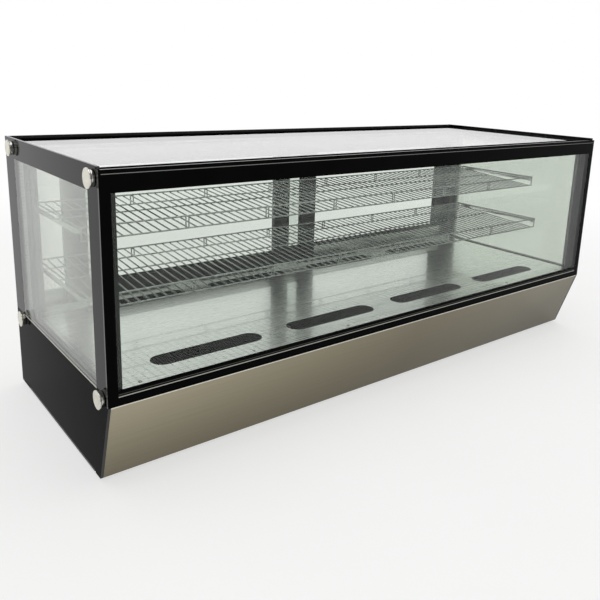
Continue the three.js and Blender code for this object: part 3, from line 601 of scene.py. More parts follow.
@dataclass(frozen=True)
class SealedGlazing(ClearGlass):
    """An inner pane with its spacer bar. The bar is mill aluminium with a row of breather holes.

    spacer is the low and high limit, along the facing axis and measured outwards from the middle of the
    case, of the bar behind the pane. rim is where, on the wave that draws the holes, a hole's edge starts
    and ends.
    """

    spacer: tuple[float, float] = (0.0, 0.0)
    hole_pitch: float = 9 * MM
    bar: tuple[str, str] = ("#BFC3BF", "#6E726E")
    rim: tuple[float, float] = (0.88, 0.95)

    def shade(self, tree: NodeTree) -> Node:
        """Builds the pane, and the spacer bar where the point lies behind it.

        Args:
            tree: the tree that gets the nodes.

        Returns:
            The surface shader.
        """
        pane = super().shade(tree)
        place = place_of(tree)
        facing = place[self.facing.value.lower()]
        depth = add_node(tree, "ShaderNodeMath", {"operation": "ABSOLUTE", 0: facing})
        along = place["x" if self.facing is Facing.Y else "y"]
        run = add_node(tree, "ShaderNodeMath", {"operation": "ADD", 0: place["z"], 1: along})
        pitch = math.tau / self.hole_pitch
        turn = add_node(tree, "ShaderNodeMath", {"operation": "MULTIPLY", 0: run, 1: pitch})
        wave = add_node(tree, "ShaderNodeMath", {"operation": "COSINE", 0: turn})
        holes = {"Fac": wave, "stops": list(zip(self.rim, self.bar))}
        metal = add_node(
            tree,
            "ShaderNodeBsdfPrincipled",
            {"Metallic": 0.85, "Roughness": 0.36, "Base Color": add_node(tree, "ShaderNodeValToRGB", holes)},
        )
        behind = inside(tree, (depth, *self.spacer))
        return add_node(tree, "ShaderNodeMixShader", {0: behind, 1: pane, 2: metal})


@dataclass(frozen=True)
class FloorPaint(Finish):
    """Pale matt studio floor with a barely visible mottle.

    lift is how much it glows of itself. Between the two distances of fade it turns into the pale room, whose
    strength is daylight.
    """

    colours: tuple[str, str] = ("#EDEDEB", "#F1F1EF")
    fade: tuple[float, float] = (1.3, 3.6)
    lift: float = 0.6
    daylight: float = 1.0
    cloud: float = 0.6

    def shade(self, tree: NodeTree) -> Node:
        """Builds the matt paint and its fade.

        Args:
            tree: the tree that gets the nodes.

        Returns:
            The surface shader.
        """
        mottle = {"Fac": grain(tree, (self.cloud,) * 3), "stops": self.drifting(self.colours)}
        matt = add_node(
            tree,
            "ShaderNodeBsdfPrincipled",
            {"Roughness": 0.7, "IOR": 1.4, "Base Color": add_node(tree, "ShaderNodeValToRGB", mottle)},
        )
        away = add_node(tree, "ShaderNodeVectorMath", {"operation": "LENGTH", 0: place_of(tree)["point"]})
        near, far = self.fade
        reach = {"Value": away.outputs["Value"], "From Min": near, "From Max": far, "To Min": self.lift}
        share = add_node(tree, "ShaderNodeMapRange", {**reach, "interpolation_type": "SMOOTHSTEP"})
        glow = add_node(tree, "ShaderNodeEmission", {"Strength": self.daylight})
        return add_node(tree, "ShaderNodeMixShader", {0: share, 1: matt, 2: glow})


@dataclass(frozen=True)
class DisplayGlow(Finish):
    """A lit segment of a numeric display: red light-emitting plastic that flickers a little in tone."""

    colours: tuple[str, str] = ("#FF2A18", "#D81E10")
    glow: float = 1.6
    dim: float = 0.8
    cloud: float = 1.5 * MM

    def shade(self, tree: NodeTree) -> Node:
        """Builds the glowing plastic.

        Args:
            tree: the tree that gets the nodes.

        Returns:
            The surface shader.
        """
        flicker = grain(tree, (self.cloud,) * 3)
        tone = {"Fac": flicker, "stops": self.drifting(self.colours)}
        power = {"Value": flicker, "To Min": self.glow * self.dim, "To Max": self.glow}
        return add_node(
            tree,
            "ShaderNodeBsdfPrincipled",
            {
                "Roughness": 0.4,
                "IOR": 1.5,
                "Base Color": add_node(tree, "ShaderNodeValToRGB", tone),
                "Emission Color": linear(self.colours[0]),
                "Emission Strength": add_node(tree, "ShaderNodeMapRange", power),
            },
        )


class Finishes:
    """Every finish on the case, by the part of it that has it."""

    # Sprayed and baked on steel: near black, with soft broad highlights.
    frame_coat = PowderCoat("black_powder_coat_semi_gloss")
    # The roof's upstand is matt, so that it stays dark at a glance.
    trim_coat = PowderCoat("black_powder_coat_matt", ("#080908", "#0F100F"), 0.6)
    # The folded tray gets the same paint, a little rougher from standing near the floor.
    tray_coat = PowderCoat("black_powder_coat_satin", ("#0A0B0A", "#151615"), 0.42)
    # Warm grey sheet, brushed along the case, so that light lies on it in long soft bands.
    # Its tone darkens downwards and to the right: painted shade.
    kick_steel = ShadedSteel(
        "brushed_stainless_warm", ("#A19A85", "#A7A08B"), (0.34, 0.42), Grain.ALONG_X, 0.003 * MM, 0.05
    )
    # A brighter, smoother strip under the top edge draws a thin pale line under the glass: a painted
    # highlight.
    kick_edge_highlight = PolishedChrome("polished_stainless_edge_highlight", ("#D6D3C8", "#E4E1D6"), (0.25, 0.35))
    # Cooler sheet, brushed along the case, with streaks of tone.
    rear_steel = BrushedSteel("brushed_stainless_cool", ("#A7A8A3", "#BDBEB9"), (0.28, 0.38))
    # Finely brushed and then waxed sheet: the wax mirrors the shelf wires sharply over a soft, smeared glow.
    deck_steel = BrushedSteel(
        "bright_stainless_sheet",
        ("#ECEFEC", "#F4F6F3"),
        (0.25, 0.3),
        relief=0.0006 * MM,
        smudge=0.03,
        stretch=0.75,
        wax=0.9,
    )
    # Drawn bright strip: crisp, narrow glints along the lanes.
    track_steel = BrushedSteel("bright_stainless_track", ("#C2C5C1", "#D4D7D3"), (0.18, 0.26))
    # Turned and polished: it mirrors the room's light and the case's dark in rings.
    bolt_chrome = PolishedChrome("polished_stainless_turned", ("#B4B3AC", "#C9C8C1"), (0.05, 0.14))
    # The faced end of a bolt is left satin, so it looks pale and even.
    bolt_face = PolishedChrome("satin_stainless_faced", ("#CFCCC0", "#DDDACE"), (0.32, 0.42))
    # Drawn wire with bright plate. Its colour is darker than plate, which stands for the dark of the room in
    # its
    # reflections: painted shade.
    wire_chrome = PolishedChrome("chrome_plated_wire", ("#878B88", "#A4A8A4"), (0.04, 0.12))
    # Polished by hand: a mirror with a little haze.
    bracket_chrome = PolishedChrome("polished_stainless_bracket", ("#CDD0CC", "#E2E4E0"), (0.1, 0.24))
    # Pressed and tumbled heads: small soft glints.
    screw_steel = PolishedChrome("polished_stainless_screw", ("#A9ABA7", "#C4C6C2"), (0.18, 0.3))
    # Spark-eroded mould: charcoal with hardly any shine, so the ribs look dark.
    grille_plastic = MouldedPlastic("charcoal_abs_textured", ("#0F110F", "#191B19"), 0.7, specular=0.12)
    # Finely textured mould: black, with a soft highlight along each edge.
    control_plastic = MouldedPlastic("black_abs_satin", ("#121312", "#1C1D1C"), 0.38, 0.6 * MM, 0.01 * MM)
    # The glass fibres dull its skin: a flat black, slightly mottled.
    fan_plastic = MouldedPlastic("black_nylon_glass_filled", ("#161716", "#222322"), 0.55)
    # Pressed rubber: matt black with a coarse skin.
    foot_rubber = MouldedPlastic(
        "black_nitrile_rubber", ("#151515", "#1F1F1F"), 0.75, 1.4 * MM, 0.05 * MM, 1.52
    )
    # Polished moulds: strong colour under a small sharp highlight.
    red_plastic = MouldedPlastic(
        "red_polycarbonate_rocker", ("#A5120F", "#BE1A15"), 0.22, 2 * MM, 0.005 * MM, 1.58
    )
    green_plastic = MouldedPlastic(
        "green_polycarbonate_rocker", ("#0E7A35", "#149243"), 0.22, 2 * MM, 0.005 * MM
    )
    # Vacuum-formed sheet with a dull sheen. Its even dark grey stands for the shade seen through the grilles:
    # painted shade.
    tub_plastic = MouldedPlastic("grey_abs_liner", ("#2B2E2C", "#373A37"), 0.5, 1.1 * MM, 0.02 * MM)
    # Fins as they leave the mill: pale and dull, streaked up and down.
    coil_aluminium = BrushedSteel("mill_aluminium_fin", ("#B9BCBB", "#CDD0CF"), (0.35, 0.5), Grain.ALONG_Z)
    # Dipped and baked: glossy black with broad waves.
    compressor_paint = PowderCoat("black_enamel_baked", ("#101214", "#1B1D20"), 0.28, 3 * MM, 0.03 * MM)
    # Milky sheet, with a soft bright spot over each lamp.
    lamp_lens = LampLens("opal_polycarbonate_lit")
    # Pressed through a die: satin, with fine lines along its length.
    lamp_body = BrushedSteel("satin_aluminium_extruded", ("#C4C6C4", "#D8DAD8"), (0.3, 0.42))
    # Each segment glows red through its own colour.
    display_digits = DisplayGlow("red_light_emitting_segment")
    # Float glass, tempered and lightly coated, so what stands behind it shows clearly.
    door_glass = ClearGlass("tempered_glass_door", Facing.Y, "#F3F5F3", glance=0.015)


# ---- The modelling bench ------------------------------------------------------------------------


class Bench:
    """The modelling bench: each new mesh is made here with Blender's own operators.

    WELD is how close two points lie that become one, and FLAT is the angle in degrees under which
    neighbouring triangles become one face.
    """

    WELD = 0.01 * MM
    FLAT = 0.5

    @staticmethod
    def clear() -> None:
        """Leaves edit mode and deselects everything."""
        if bpy.context.object and bpy.context.object.mode != "OBJECT":
            bpy.ops.object.mode_set(mode="OBJECT")
        bpy.ops.object.select_all(action="DESELECT")

    @staticmethod
    def only(piece: Object) -> Object:
        """Selects one object alone and makes it active.

        Args:
            piece: the object.

        Returns:
            The same object.
        """
        Bench.clear()
        piece.select_set(True)
        bpy.context.view_layer.objects.active = piece
        return piece

    @staticmethod
    def settled(piece: Object, name: str = "") -> Object:
        """Puts a piece's place, turn and size into its mesh.

        Args:
            piece: the object.
            name: its new name, if it gets one.

        Returns:
            The same object.
        """
        Bench.only(piece)
        bpy.ops.object.transform_apply(location=True, rotation=True, scale=True)
        if name:
            piece.name = name
        return piece

    @staticmethod
    def block(name: str, low: Sequence[float], high: Sequence[float]) -> Object:
        """Starts a piece from a block between two corners.

        Args:
            name: the piece's name.
            low: its lowest corner.
            high: its highest corner.

        Returns:
            The block.
        """
        Bench.clear()
        middle = [(a + b) / 2 for a, b in zip(low, high)]
        bpy.ops.mesh.primitive_cube_add(size=1, location=middle)
        piece = bpy.context.object
        piece.scale = [b - a for a, b in zip(low, high)]
        return Bench.settled(piece, name)

    @staticmethod
    def rod(
        name: str, start: Sequence[float], end: Sequence[float], radius: float, sides: int = 8
    ) -> Object:
        """Starts a piece from a straight rod between two points.

        Args:
            name: the piece's name.
            start: the middle of one end.
            end: the middle of the other end.
            radius: the rod's radius.
            sides: how many flats its round has.

        Returns:
            The rod.
        """
        Bench.clear()
        run = Vector(end) - Vector(start)
        bpy.ops.mesh.primitive_cylinder_add(
            vertices=sides,
            radius=radius,
            depth=run.length,
            location=(Vector(start) + Vector(end)) / 2,
            rotation=run.to_track_quat("Z", "X").to_euler(),
        )
        return Bench.settled(bpy.context.object, name)

    @staticmethod
    def turned(
        name: str,
        start: Sequence[float],
        axis: Sequence[float],
        profile: Sequence[tuple[float, float]],
        sides: int = 40,
    ) -> Object:
        """Turns a round piece, as on a lathe, by extruding and resizing the end of a disc.

        Args:
            name: the piece's name.
            start: the point on the axis where the profile starts.
            axis: the direction that the profile runs in.
            profile: pairs of distance along the axis and radius, both in metres.
            sides: how many flats its round has.

        Returns:
            The closed piece.
        """
        Bench.clear()
        way = Vector(axis).normalized()
        bpy.ops.mesh.primitive_circle_add(
            vertices=sides,
            radius=profile[0][1],
            fill_type="NGON",
            location=Vector(start) + way * profile[0][0],
            rotation=way.to_track_quat("Z", "X").to_euler(),
        )
        piece = Bench.settled(bpy.context.object, name)
        bpy.ops.object.mode_set(mode="EDIT")
        bpy.ops.mesh.select_all(action="SELECT")
        for (was, radius), (now, wider) in zip(profile, profile[1:]):
            bpy.ops.mesh.extrude_region_move(TRANSFORM_OT_translate={"value": way * (now - was)})
            if wider != radius:
                middle = Vector(start) + way * now
                bpy.ops.transform.resize(value=(wider / radius,) * 3, center_override=middle)
        bpy.ops.object.mode_set(mode="OBJECT")
        return Bench.sound(piece)

    @staticmethod
    def sound(piece: Object) -> Object:
        """Merges doubled points and turns every face outwards.

        Args:
            piece: the object.

        Returns:
            The same object.
        """
        Bench.only(piece)
        bpy.ops.object.mode_set(mode="EDIT")
        bpy.ops.mesh.select_all(action="SELECT")
        bpy.ops.mesh.remove_doubles(threshold=Bench.WELD)
        bpy.ops.mesh.normals_make_consistent(inside=False)
        bpy.ops.object.mode_set(mode="OBJECT")
        return piece

    @staticmethod
    @contextmanager
    def picked(piece: Object, kind: str, test: Test) -> Iterator[None]:
        """Opens a piece in edit mode with the faces or edges selected that pass a test.

        Args:
            piece: the object.
            kind: "FACE" or "EDGE".
            test: takes the middle of a face or edge, and a face's normal or an edge's direction.

        Yields:
            Nothing: the operators run while the piece is open.
        """
        Bench.only(piece)
        bpy.ops.object.mode_set(mode="EDIT")
        bpy.ops.mesh.select_mode(type=kind)
        bpy.ops.mesh.select_all(action="DESELECT")
        mesh = bmesh.from_edit_mesh(piece.data)
        if kind == "FACE":
            for face in mesh.faces:
                face.select_set(bool(test(face.calc_center_median(), face.normal)))
        else:
            for edge in mesh.edges:
                ends = [vertex.co for vertex in edge.verts]
                if test((ends[0] + ends[1]) / 2, (ends[1] - ends[0]).normalized()):
                    edge.select_set(True)
        bmesh.update_edit_mesh(piece.data)
        yield
        bpy.ops.object.mode_set(mode="OBJECT")

    @staticmethod
    def modified(piece: Object, kind: str, **settings: Any) -> Object:
        """Adds a modifier with its settings and applies it.

        Args:
            piece: the object.
            kind: the modifier's Blender type.
            settings: its attributes, with their values.

        Returns:
            The same object.
        """
        Bench.only(piece)
        step = piece.modifiers.new(kind.title(), kind)
        for name, value in settings.items():
            setattr(step, name, value)
        bpy.ops.object.modifier_apply(modifier=step.name)
        return piece

    @staticmethod
    def softened(piece: Object, width: float, segments: int = 2, angle: float = 35.0) -> Object:
        """Rounds every edge that is sharper than an angle in degrees.

        Args:
            piece: the object.
            width: how far the rounding reaches, in metres.
            segments: how many faces it has across.
            angle: that angle.

        Returns:
            The same object.
        """
        return Bench.modified(
            piece,
            "BEVEL",
            width=width,
            segments=segments,
            limit_method="ANGLE",
            angle_limit=math.radians(angle),
            use_clamp_overlap=True,
        )

    @staticmethod
    def repeated(piece: Object, count: int, step: Sequence[float]) -> Object:
        """Repeats a shape in a row, with a step in metres from each to the next.

        Args:
            piece: the object.
            count: how many there are in all.
            step: the way from each to the next.

        Returns:
            The same object.
        """
        return Bench.modified(
            piece,
            "ARRAY",
            count=count,
            use_relative_offset=False,
            use_constant_offset=True,
            constant_offset_displace=step,
        )

    @staticmethod
    def copied(piece: Object, name: str, shift: Sequence[float]) -> Object:
        """Copies a piece with its own mesh, and shifts the copy.

        Args:
            piece: the object.
            name: the copy's name.
            shift: how far the copy is moved.

        Returns:
            The copy.
        """
        Bench.only(piece)
        bpy.ops.object.duplicate(linked=False)
        twin = bpy.context.object
        twin.location = Vector(shift)
        return Bench.settled(twin, name)

    @staticmethod
    def mirrored(piece: Object, name: str, axes: tuple[bool, bool, bool]) -> Object:
        """Copies a piece to the other side of the planes through the origin that axes names.

        Args:
            piece: the object.
            name: the copy's name.
            axes: whether x, y and z change sign.

        Returns:
            The copy.
        """
        Bench.only(piece)
        bpy.ops.object.duplicate(linked=False)
        twin = bpy.context.object
        twin.scale = [-1 if flip else 1 for flip in axes]
        Bench.settled(twin, name)
        return Bench.sound(twin)

    @staticmethod
    def joined(name: str, parts: Sequence[Object]) -> Object:
        """Joins parts into one piece.

        Args:
            name: the piece's name.
            parts: the objects to join.

        Returns:
            The joined piece.
        """
        Bench.clear()
        for part in parts:
            part.select_set(True)
        bpy.context.view_layer.objects.active = parts[0]
        if len(parts) > 1:
            bpy.ops.object.join()
        whole = bpy.context.object
        whole.name = name
        return whole

    @staticmethod
    def from_node(node: str, name: str) -> Object:
        """Starts a piece from a copy of a CAD node, with its triangles welded and its flats made whole.

        Args:
            node: the CAD node's name.
            name: the piece's name.

        Returns:
            The new piece.
        """
        Bench.clear()
        source = frame["nodes"][node]
        piece = bpy.data.objects.new(name, source.data.copy())
        bpy.context.scene.collection.objects.link(piece)
        piece.data.materials.clear()
        Bench.sound(piece)
        bpy.ops.object.mode_set(mode="EDIT")
        bpy.ops.mesh.select_all(action="SELECT")
        bpy.ops.mesh.dissolve_limited(angle_limit=math.radians(Bench.FLAT))
        bpy.ops.object.mode_set(mode="OBJECT")
        return piece


def hand_over(
    piece: Object,
    finishes: Sequence[Finish],
    nodes: Sequence[str],
    body: str = "",
    smooth: float = 32.0,
) -> Object:
    """Gives a finished piece its materials, its shading and its body, and hides the CAD nodes it stands for.

    Args:
        piece: the finished piece.
        finishes: its finishes, in the order of its material slots.
        nodes: the CAD nodes that it stands for, or none where it is added detail.
        body: the CAD body it rides on, where it stands for no node.
        smooth: the angle in degrees under which neighbouring faces are shaded smoothly.

    Returns:
        The piece.
    """
    Bench.only(piece)
    if smooth:
        bpy.ops.object.shade_smooth_by_angle(angle=math.radians(smooth))
    fill_slots(piece, finishes)
    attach(piece, body or BODY_OF[nodes[0]])
    if nodes:
        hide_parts(*nodes)
    LOG.info("%s: %d faces", piece.name, len(piece.data.polygons))
    return piece


def dress(node: str, finish: Finish) -> None:
    """Gives a CAD node whose shape is right its finish.

    Args:
        node: the CAD node's name.
        finish: the finish.
    """
    mesh = frame["nodes"][node].data
    mesh.materials.clear()
    mesh.materials.append(finish.material())
    LOG.info("%s: %s", node, finish.name)


def fill_slots(piece: Object, finishes: Sequence[Finish]) -> None:
    """Gives a piece one material slot for each finish, and leaves the slots that it has already."""
    for finish in finishes[len(piece.data.materials) :]:
        piece.data.materials.append(finish.material())


def paint_faces(piece: Object, index: int, test: Test) -> None:
    """Gives the faces that pass a test of middle and normal another material slot of the piece.

    Args:
        piece: the object.
        index: the slot's number.
        test: takes a face's middle and normal.
    """
    for face in piece.data.polygons:
        if test(face.center, face.normal):
            face.material_index = index


# ---- Sub-assemblies -----------------------------------------------------------------------------


@dataclass
class Studio:
    """The floor, the light and the camera round the case.

    room_light is the room's strength in front of the case and behind it, and most_panes is how many clear
    panes light passes in a row. Each of the softboxes has its name, its place, the point that it faces, its
    width and height in metres, and its power in watts.
    """

    floor_radius: float = 14.0
    floor_sides: int = 96
    camera_place: tuple[float, float, float] = (-1.3205, -1.5284, 0.8691)
    turn: float = -38.891
    tilt: float = -13.405
    lean: float = -1.964
    lens: float = 39.67
    shift: tuple[float, float] = (-0.027, -0.109)
    daylight: float = 1.0
    room_light: tuple[float, float] = (0.45, 1.1)
    most_panes: int = 32
    softboxes: tuple[tuple, ...] = (
        ("overhead_softbox", (0.2, -0.3, 3.4), (0, 0, 0.3), (3.2, 2.4), 30),
        ("front_softbox", (-2.8, -3.2, 2.4), (0, 0, 0.4), (1.8, 1.8), 10),
    )

    def build(self) -> None:
        """Makes the floor, the soft lights, the pale room and the camera."""
        Bench.clear()
        bpy.ops.mesh.primitive_circle_add(
            vertices=self.floor_sides, radius=self.floor_radius, fill_type="NGON"
        )
        floor = bpy.context.object
        floor.name = "studio_floor"
        floor.data.materials.append(FloorPaint("matt_floor_paint_pale", daylight=self.daylight).material())
        self.room()
        for softbox in self.softboxes:
            self.softbox(*softbox)
        self.camera()

    def room(self) -> None:
        """Surrounds the case with pale light, stronger from behind, and lets it pass every pane."""
        world = bpy.data.worlds.new("pale_room")
        bpy.context.scene.world = world
        world.use_nodes = True
        tree = world.node_tree
        tree.nodes.clear()
        way = add_node(tree, "ShaderNodeTexCoord").outputs["Generated"]
        parts = add_node(tree, "ShaderNodeSeparateXYZ", {"Vector": way}).outputs
        front, rear = self.room_light
        around = {"Value": parts["Y"], "From Min": -1.0, "To Min": front, "To Max": rear}
        lit = add_node(tree, "ShaderNodeMapRange", around)
        seen = add_node(tree, "ShaderNodeLightPath").outputs["Is Camera Ray"]
        shine = {"Value": seen, "To Min": lit, "To Max": self.daylight}
        strength = add_node(tree, "ShaderNodeMapRange", shine)
        shown = add_node(tree, "ShaderNodeBackground", {"Color": linear("#FFFFFF"), "Strength": strength})
        add_node(tree, "ShaderNodeOutputWorld", {"Surface": shown})
        bpy.context.scene.cycles.transparent_max_bounces = self.most_panes
        bpy.context.scene.view_settings.view_transform = "Standard"

    @staticmethod
    def softbox(
        name: str,
        place: Sequence[float],
        target: Sequence[float],
        size: tuple[float, float],
        power: float,
    ) -> None:
        """Adds a rectangular soft light.

        Args:
            name: the light's name.
            place: where it stands.
            target: the point it faces.
            size: its width and height.
            power: its power in watts.
        """
        lamp = bpy.data.lights.new(name, "AREA")
        lamp.shape = "RECTANGLE"
        lamp.size, lamp.size_y = size
        lamp.energy = power
        holder = bpy.data.objects.new(name, lamp)
        bpy.context.scene.collection.objects.link(holder)
        holder.location = place
        holder.rotation_euler = (Vector(target) - Vector(place)).to_track_quat("-Z", "Y").to_euler()
        holder.visible_camera = False

    def camera(self) -> None:
        """Sets up the camera, level at first and then leant, tilted and turned."""
        view = bpy.data.cameras.new("camera")
        view.lens = self.lens
        view.shift_x, view.shift_y = self.shift
        holder = bpy.data.objects.new("camera", view)
        bpy.context.scene.collection.objects.link(holder)
        turned = Matrix.Identity(4)
        for angle, axis in ((self.turn, "Z"), (self.tilt, "X"), (self.lean, "Y"), (90, "X")):
            turned = turned @ Matrix.Rotation(math.radians(angle), 4, axis)
        holder.matrix_world = Matrix.Translation(self.camera_place) @ turned
        bpy.context.scene.camera = holder


@dataclass
class GlassHouse:
    """The panes of the case with their black enamel borders.

    The borders are measured in from a pane's edges, and foot_z and front_foot_z are the heights where the
    clear windows start. slack and reach are how far a spacer bar's limits lie inside and outside its node.
    """

    pane: float = 6 * MM
    slack: float = 0.1 * MM
    reach: float = 1 * MM
    top_border: float = 52 * MM
    rear_border: float = 75 * MM
    front_strip: float = 60 * MM
    foot_z: float = 226 * MM
    side_line: float = 4 * MM
    front_side_border: float = 23 * MM
    front_top_border: float = 46 * MM
    front_foot_z: float = 233.5 * MM
    print_edge_highlight: str = "#B4B5AC"
    # Thin lines are drawn into the front's border: a pale line, a faint one over it and a grey one near the
    # top. The pale and the grey one are painted highlights. Each has its colour, how far it stops from the
    # pane's sides, and its lower and upper edge.
    front_lines: tuple[tuple[str, float, float, float], ...] = (
        ("#B4B5AC", 23 * MM, 219.5 * MM, 221.5 * MM),
        ("#4E504B", 23 * MM, 225 * MM, 226.5 * MM),
        ("#7E807C", 5 * MM, 678.4 * MM, 679.8 * MM),
    )
    roof_front_border: float = 40 * MM
    roof_rear_border: float = 75 * MM
    # The side walls are a little darker and greener than the front, which is low-iron glass.
    side_tint: str = "#F1F3F0"
    front_tint: str = "#FCFDFC"
    front_glance: float = 0.008
    # How much the enamel mirrors: the roof's none, and the sides' lower part hardly any, which darkens
    # it: painted shade.
    side_specular: float = 0.08
    side_foot_specular: float = 0.006
    front_specular: float = 0.02
    roof_specular: float = 0.0
    # The front unit's spacer is black anodised, so it doesn't show beside the enamel.
    dark_bar: tuple[str, str] = ("#2B2D2B", "#161716")

    def build(self) -> None:
        """Dresses each pane."""
        # Float glass, printed and tempered: the fired enamel looks like black lacquer deep under the surface.
        low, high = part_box("left_outer_pane")
        across = ("y", low.y + self.front_strip, high.y - self.rear_border)
        side = PrintedGlass(
            "tempered_glass_enamelled_side",
            Facing.X,
            self.side_tint,
            window=(across, ("z", self.foot_z, high.z - self.top_border)),
            # The pale line at the window's foot is a painted highlight along the print's edge.
            lines=((self.print_edge_highlight, across, ("z", self.foot_z - self.side_line, self.foot_z)),),
            specular=self.side_specular,
            foot=self.foot_z,
            foot_specular=self.side_foot_specular,
        )
        # The front is low-iron glass with a coat against glare, so the shelves show clearly through it.
        low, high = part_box("front_outer_pane")
        across = ("x", low.x + self.front_side_border, high.x - self.front_side_border)
        front = PrintedGlass(
            "tempered_glass_enamelled_front",
            Facing.Y,
            self.front_tint,
            window=(across, ("z", self.front_foot_z, high.z - self.front_top_border)),
            lines=tuple(
                (tone, ("x", low.x + inset, high.x - inset), ("z", foot, head))
                for tone, inset, foot, head in self.front_lines
            ),
            glance=self.front_glance,
            specular=self.front_specular,
        )
        # The roof mirrors the room at a flat angle, as a pale sheet between its black ends.
        low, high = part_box("roof_pane")
        window = (
            ("x", low.x + self.reach, high.x - self.reach),
            ("y", low.y + self.roof_front_border, high.y - self.roof_rear_border),
        )
        roof = PrintedGlass(
            "tempered_glass_enamelled_roof", Facing.Z, window=window, specular=self.roof_specular
        )
        # Bare aluminium spacers show as a pale dotted line round the side walls.
        low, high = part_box("right_inner_glazing")
        bar = (low.x + self.pane + self.slack, high.x + self.reach)
        inner_side = SealedGlazing("sealed_unit_side_aluminium_spacer", Facing.X, self.side_tint, spacer=bar)
        low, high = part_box("front_inner_glazing")
        bar = (-high.y + self.pane + self.slack, -low.y + self.reach)
        inner_front = SealedGlazing(
            "sealed_unit_front_anodised_spacer",
            Facing.Y,
            self.front_tint,
            glance=self.front_glance,
            spacer=bar,
            bar=self.dark_bar,
        )
        for node, finish in (
            ("left_outer_pane", side),
            ("right_outer_pane", side),
            ("front_outer_pane", front),
            ("roof_pane", roof),
            ("left_inner_glazing", inner_side),
            ("right_inner_glazing", inner_side),
            ("front_inner_glazing", inner_front),
        ):
            dress(node, finish)


@dataclass
class Frames:
    """The painted frames, the folded tray and the steel panels, with their edges eased."""

    frame_ease: float = 0.6 * MM
    fold_ease: float = 0.5 * MM
    sheet_ease: float = 0.4 * MM
    highlight_band: float = 2.6 * MM

    def build(self) -> None:
        """Makes each frame and panel from its CAD node."""
        for node, slot, finish, ease in (
            ("base_tray", "black_frame", Finishes.tray_coat, self.fold_ease),
            ("front_frame", "black_frame", Finishes.frame_coat, self.frame_ease),
            ("rear_frame", "black_frame", Finishes.frame_coat, self.frame_ease),
            ("kick_panel", "kick_steel", Finishes.kick_steel, self.fold_ease),
            ("rear_panel", "kick_steel", Finishes.rear_steel, self.sheet_ease),
            ("door_track", "deck_steel", Finishes.track_steel, self.sheet_ease),
            ("deck_panel", "deck_steel", Finishes.deck_steel, self.sheet_ease),
            ("condenser_shroud", "black_frame", Finishes.tray_coat, self.fold_ease),
        ):
            self.eased(node, finish, ease)

    def eased(self, node: str, finish: Finish, ease: float) -> None:
        """Makes one piece with eased edges from a CAD node; the kick panel gets a painted highlight too.

        Args:
            node: the CAD node's name.
            finish: its finish.
            ease: how far its edges are rounded.
        """
        piece = Bench.from_node(node, f"{node}_finished")
        finishes = [finish]
        if node == "kick_panel":
            finishes.append(Finishes.kick_edge_highlight)
            self.add_edge_highlight(piece, finishes)
        hand_over(Bench.softened(piece, ease), finishes, [node], smooth=0)

    def add_edge_highlight(self, piece: Object, finishes: Sequence[Finish]) -> None:
        """Cuts a strip into the front face under the top edge, and gives it the second finish: a painted
        highlight.

        Args:
            piece: the kick panel.
            finishes: the panel's finish and that of the painted highlight.
        """
        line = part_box("kick_panel")[1].z - self.highlight_band
        with Bench.picked(piece, "FACE", lambda middle, normal: True):
            bpy.ops.mesh.bisect(plane_co=(0, 0, line), plane_no=(0, 0, 1))
        fill_slots(piece, finishes)
        paint_faces(piece, 1, lambda middle, normal: normal.y < -0.5 and middle.z > line)


@dataclass
class RoofTrim:
    """The black upstand behind the roof pane and the silicone bead before it."""

    inset: float = 0.2 * MM
    upstand: float = 7 * MM
    upstand_gap: float = 0.1 * MM
    upstand_drop: float = 0.4 * MM
    upstand_ease: float = 0.3 * MM
    lip: float = 1.2 * MM
    lip_depth: float = 0.4 * MM
    bead: float = 6 * MM
    bead_rise: float = 1.3 * MM
    bead_setback: float = 0.1 * MM
    bead_gap: float = 0.05 * MM
    bead_ease: float = 0.54 * MM

    def build(self) -> None:
        """Makes the upstand and the bead."""
        low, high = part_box("roof_pane")
        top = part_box("left_outer_pane")[1].z
        rail = Bench.block(
            "roof_rear_upstand",
            (low.x + self.inset, high.y - self.upstand, high.z + self.upstand_gap),
            (high.x - self.inset, high.y, top - self.upstand_drop),
        )
        with Bench.picked(rail, "FACE", lambda middle, normal: normal.z > 0.9):
            bpy.ops.mesh.inset(thickness=self.lip, depth=-self.lip_depth)
        Bench.softened(rail, self.upstand_ease)
        hand_over(rail, [Finishes.trim_coat], [], "cabinet", smooth=0)
        bead = Bench.block(
            "roof_front_bead",
            (low.x + self.inset, low.y + self.bead_setback, high.z + self.bead_gap),
            (high.x - self.inset, low.y + self.bead, high.z + self.bead_rise),
        )
        Bench.softened(bead, self.bead_ease, 3)
        hand_over(bead, [Finishes.foot_rubber], [], "cabinet")


